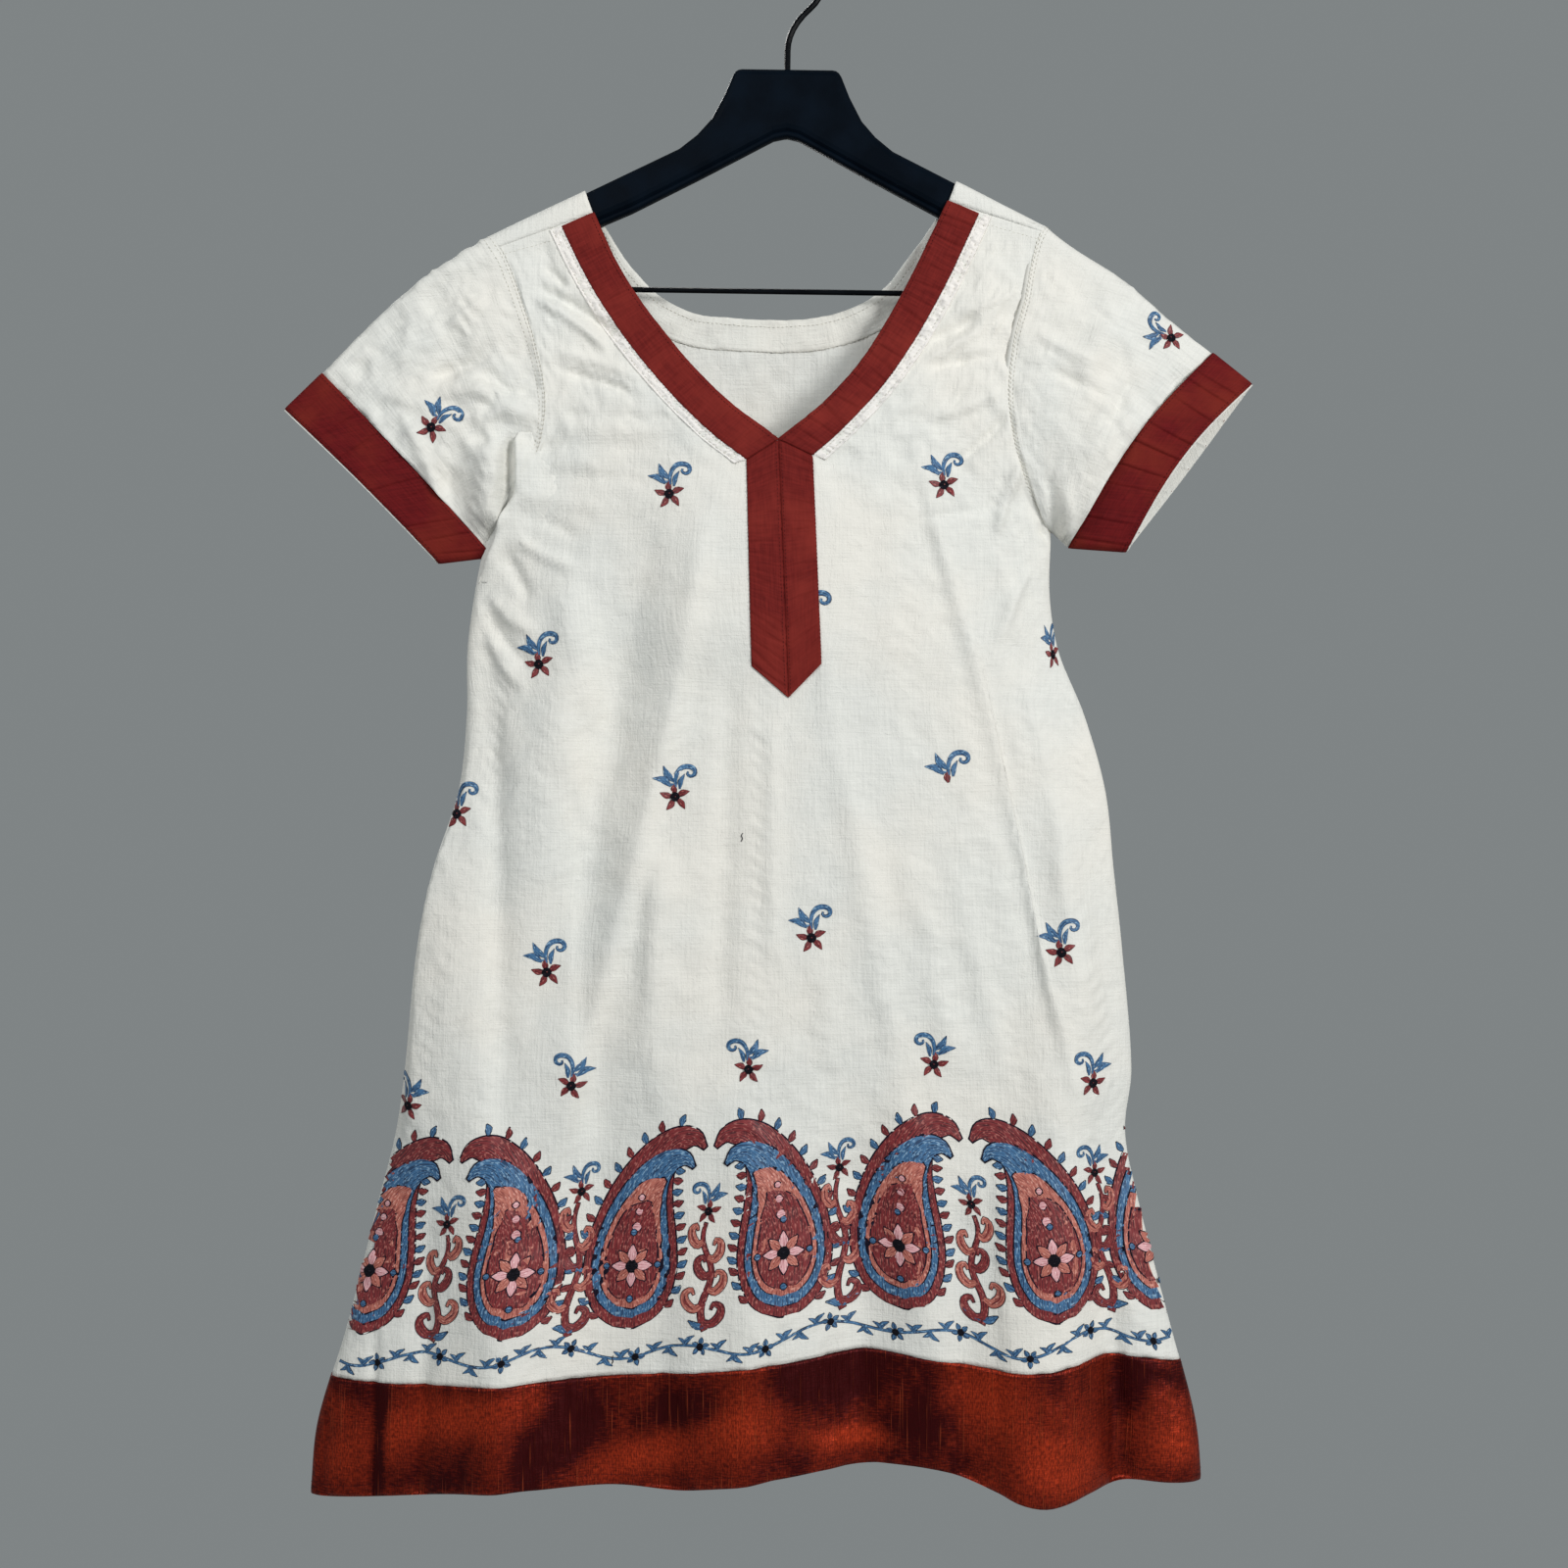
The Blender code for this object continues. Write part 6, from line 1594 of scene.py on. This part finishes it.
def plastic(name, colour, rough, grain):
    """Dark plastic or painted wire with a fine grain and faint lighter patches."""
    s = Shader(name, Specular_IOR_Level=0.03)
    patch = s.noise(s.coordinates("Object"), 40.0, 4.0)
    tone = s.blend(s.ramp(patch, 0.0, 1.0), colour, tuple(1.7 * c for c in colour))
    fine = s.noise(s.coordinates("Object"), grain, 2.0)
    gloss = s.ramp(patch, rough, rough + 0.12)
    return s.set(Base_Color=tone, Roughness=gloss, Normal=s.bump(fine, 0.0001, 0.5))


def pale_floor(name):
    """Plain pale floor."""
    s = Shader(name, Roughness=0.9)
    patch = s.noise(s.coordinates("Object"), 4.0, 2.0)
    return s.set(Base_Color=s.blend(patch, (0.42, 0.43, 0.43), (0.46, 0.47, 0.47)))


# Each cloth's and thread's colours: usual, shaded, and worn or bright; a thread's bright colour is its
# painted glints
MATERIALS = {
    "cream": slub_cotton("slub_cotton", (0.80, 0.797, 0.75), (0.70, 0.70, 0.662), (0.80, 0.770, 0.705)),
    "margin": slub_cotton("margin_cotton", (0.87, 0.848, 0.815), (0.78, 0.755, 0.725), (0.86, 0.81, 0.76)),
    "facing": slub_cotton("facing_cotton", (0.80, 0.80, 0.745), (0.72, 0.715, 0.67), (0.79, 0.765, 0.70)),
    "rust": band_cotton(
        "rust_band_cotton", (0.180, 0.0165, 0.0135), (0.115, 0.0095, 0.0085), (0.215, 0.0235, 0.0170)),
    "cuff": band_cotton(
        "rust_cuff_cotton", (0.150, 0.0085, 0.0098), (0.095, 0.0050, 0.0066), (0.180, 0.0190, 0.0115)),
    "dupioni": dupioni("shot_dupioni_painted_sheen"),
    "thread_rust": thread("thread_rust", (0.215, 0.021, 0.024), (0.070, 0.006, 0.010), (0.42, 0.13, 0.11)),
    "thread_blue": thread("thread_blue", (0.048, 0.150, 0.305), (0.012, 0.043, 0.110), (0.24, 0.40, 0.56)),
    "thread_salmon": thread("thread_salmon", (0.50, 0.155, 0.115), (0.24, 0.050, 0.040), (0.72, 0.34, 0.27)),
    "thread_pink": thread("thread_pink", (0.76, 0.42, 0.44), (0.50, 0.20, 0.22), (0.85, 0.60, 0.60)),
    "thread_black": thread(
        "thread_black", (0.007, 0.006, 0.010), (0.003, 0.003, 0.005), (0.02, 0.018, 0.026), 0.8, 0.08),
    "thread_dark": thread(
        "thread_dark", (0.010, 0.007, 0.018), (0.005, 0.003, 0.009), (0.025, 0.018, 0.04), 0.8, 0.1),
    "stitch_cream": thread(
        "stitch_cream", (0.68, 0.66, 0.58), (0.50, 0.48, 0.42), (0.78, 0.76, 0.68), 0.7),
    "stitch_rust": thread(
        "stitch_rust", (0.060, 0.006, 0.008), (0.030, 0.003, 0.005), (0.11, 0.02, 0.018), 0.8, 0.1),
    "plastic": plastic("black_plastic_grain", (0.0012, 0.0030, 0.0060), 0.42, 900.0),
    "wire": plastic("black_wire_satin", (0.0016, 0.0022, 0.0032), 0.30, 500.0),
}


def dress(piece, material, nodes=()):
    """Material, slot and body of a piece, and the CAD nodes it stands for."""
    piece.data.materials.append(MATERIALS[material])
    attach(piece, "root")
    if nodes:
        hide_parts(*nodes)
    return piece


front_cloth, front = make_front()
back_cloth, back = make_back()
hems = {face: make_hem(face) for face in FACE}
sleeves = {side: make_sleeve(side) for side in SIGN}
cuffs = {side: make_cuff(side) for side in SIGN}
bands = {side: make_band(side) for side in SIGN}
margins = {side: make_margin(side) for side in SIGN}
plackets = {side: make_placket(side) for side in SIGN}
facing, facing_surface = make_facing()

dress(front_cloth, "cream", ["front_panel"])
dress(back_cloth, "cream", ["back_panel"])
dress(facing, "facing", ["back_neck_facing"])
for side in SIGN:
    dress(sleeves[side][0], "cream", ["sleeve_" + side])
    dress(cuffs[side][0], "cuff", ["cuff_band_" + side])
    dress(cuffs[side][1], "cream")
    dress(bands[side][0], "rust", ["neck_band_" + side])
    dress(margins[side][0], "margin")
    dress(plackets[side][0], "rust", ["placket_" + side])
for face in FACE:
    dress(hems[face][0], "dupioni", ["hem_band_" + face])


def sew():
    """Running stitches along the seams and edges."""
    top = SKIRT + PLACKET
    for side in SIGN:
        for column, seed in ((2, 1), (5, 2)):
            stitch_line("cream", "usual", front[side], np.s_[top:, column], 0.25, seed)
        stitch_line("cream", "usual", front[side], np.s_[-3, 2:SIDE - 2], 0.0, 4)
        for column in (1, 9):
            stitch_line("rust", "band", bands[side][1], np.s_[:, column], 0.0, 5 + column)
        for column in (1, 9):
            stitch_line("rust", "placket", plackets[side][1], np.s_[2:, column], 0.0, 6 + column)
        for column, seed in ((2, 7), (7, 8)):
            stitch_line("cream", "usual", margins[side][1], np.s_[:, column], 0.1, seed)
        for ring in (2, 4):
            stitch_line("cream", "usual", sleeves[side][1], ring, 0.2, 9 + ring)
        for ring in (2, 15):
            stitch_line("rust", "cuff", cuffs[side][2], ring, 0.15, 12)
    for face in FACE:
        for side in SIGN:
            for row, seed in ((HEM_COUNT, 14), (5, 15)):
                stitch_line("rust", "hem", hems[face][1][side], row, 0.15, seed)
    for row, lift, seed in ((1, 0.35, 16), (6, 0.3, 17)):
        stitch_line("cream", "usual", facing_surface, row, lift, seed)


sew()
for colour in STITCHES:
    dress(make_stitching(colour), "stitch_" + colour)

panels = {"front": [front[side][0] for side in SIGN], "back": [back[side] for side in SIGN]}
tubes = [(sleeves[side][1][0], True) for side in SIGN]
work = {face: Cloth(face, [(panel, False) for panel in panels[face]] + tubes) for face in FACE}
fold = dress(make_side_fold(work["front"]), "cream")
embroider_front(work["front"])
embroider_back(work["back"])
embroidery = {face: [] for face in FACE}
for face, cloth in work.items():
    for colour in cloth.layers:
        piece = cloth.finish("embroidery_" + colour + "_" + face, colour)
        slot = "rust_cotton" if colour in ("rust", "salmon") else "cream_cotton"
        embroidery[face].append(dress(piece, "thread_" + colour))

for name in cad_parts:
    if name.startswith("hanger"):
        for slot in bpy.data.objects[name].material_slots:
            slot.material = MATERIALS["plastic" if name == "hanger_body" else "wire"]
dress(make_rib(bpy.data.objects["hanger_body"]), "plastic")


# Name, place, aim, size, power and colour
LIGHTS = (
    ("key", (2.1, -2.45, 0.15), (0.0, 0.0, -0.62), 1.1, 73.0, (1.0, 0.995, 0.985)),
    ("fill", (-0.8, -1.6, 0.60), (0.0, 0.0, -0.50), 1.3, 16.5, (0.97, 0.985, 1.0)),
    ("back", (-0.7, 1.8, 0.5), (0.0, 0.0, -0.6), 1.3, 52.0, (1.0, 0.99, 0.97)),
)
STUDIO_COLOUR = (0.214, 0.232, 0.236, 1.0)
FLOOR_Z = -1450.0
FLOOR_RADII = (0.05, 200.0, 420.0, 620.0)


def add_light(name, place, aim, size, power, colour):
    """Soft square light that points at a place."""
    data = bpy.data.lights.new(name, "AREA")
    data.shape, data.size, data.energy, data.color = "SQUARE", size, power, colour
    lamp = bpy.data.objects.new(name, data)
    lamp.location = place
    lamp.rotation_euler = (Vector(aim) - Vector(place)).to_track_quat("-Z", "Y").to_euler()
    bpy.context.scene.collection.objects.link(lamp)


def stage():
    """Camera at the photograph's place, soft light, and a pale floor under the object."""
    scene = bpy.context.scene
    data = bpy.data.cameras.new("camera")
    data.sensor_width, data.lens = 36.0, 36.0 * CAMERA_BACK / VIEW_WIDTH
    camera = bpy.data.objects.new("camera", data)
    camera.location = (CLOTH_SHIFT * MM, -CAMERA_BACK * MM, CAMERA_Z * MM)
    camera.rotation_euler = (math.radians(90.0), 0.0, 0.0)
    scene.collection.objects.link(camera)
    scene.camera = camera
    scene.view_settings.view_transform = "Standard"
    world = bpy.data.worlds.new("studio")
    world.use_nodes = True
    world.node_tree.nodes["Background"].inputs["Color"].default_value = STUDIO_COLOUR
    scene.world = world
    for light in LIGHTS:
        add_light(*light)
    turn = np.linspace(0.0, 2.0 * math.pi, 97)[:-1]
    rings = np.stack([np.stack([r * np.cos(turn), r * np.sin(turn), np.full(len(turn), FLOOR_Z)], -1)
                      for r in FLOOR_RADII])
    floor = build_grid("floor", rings, closed=True, shift=0.0)
    floor.data.materials.append(pale_floor("pale_floor"))


stage()
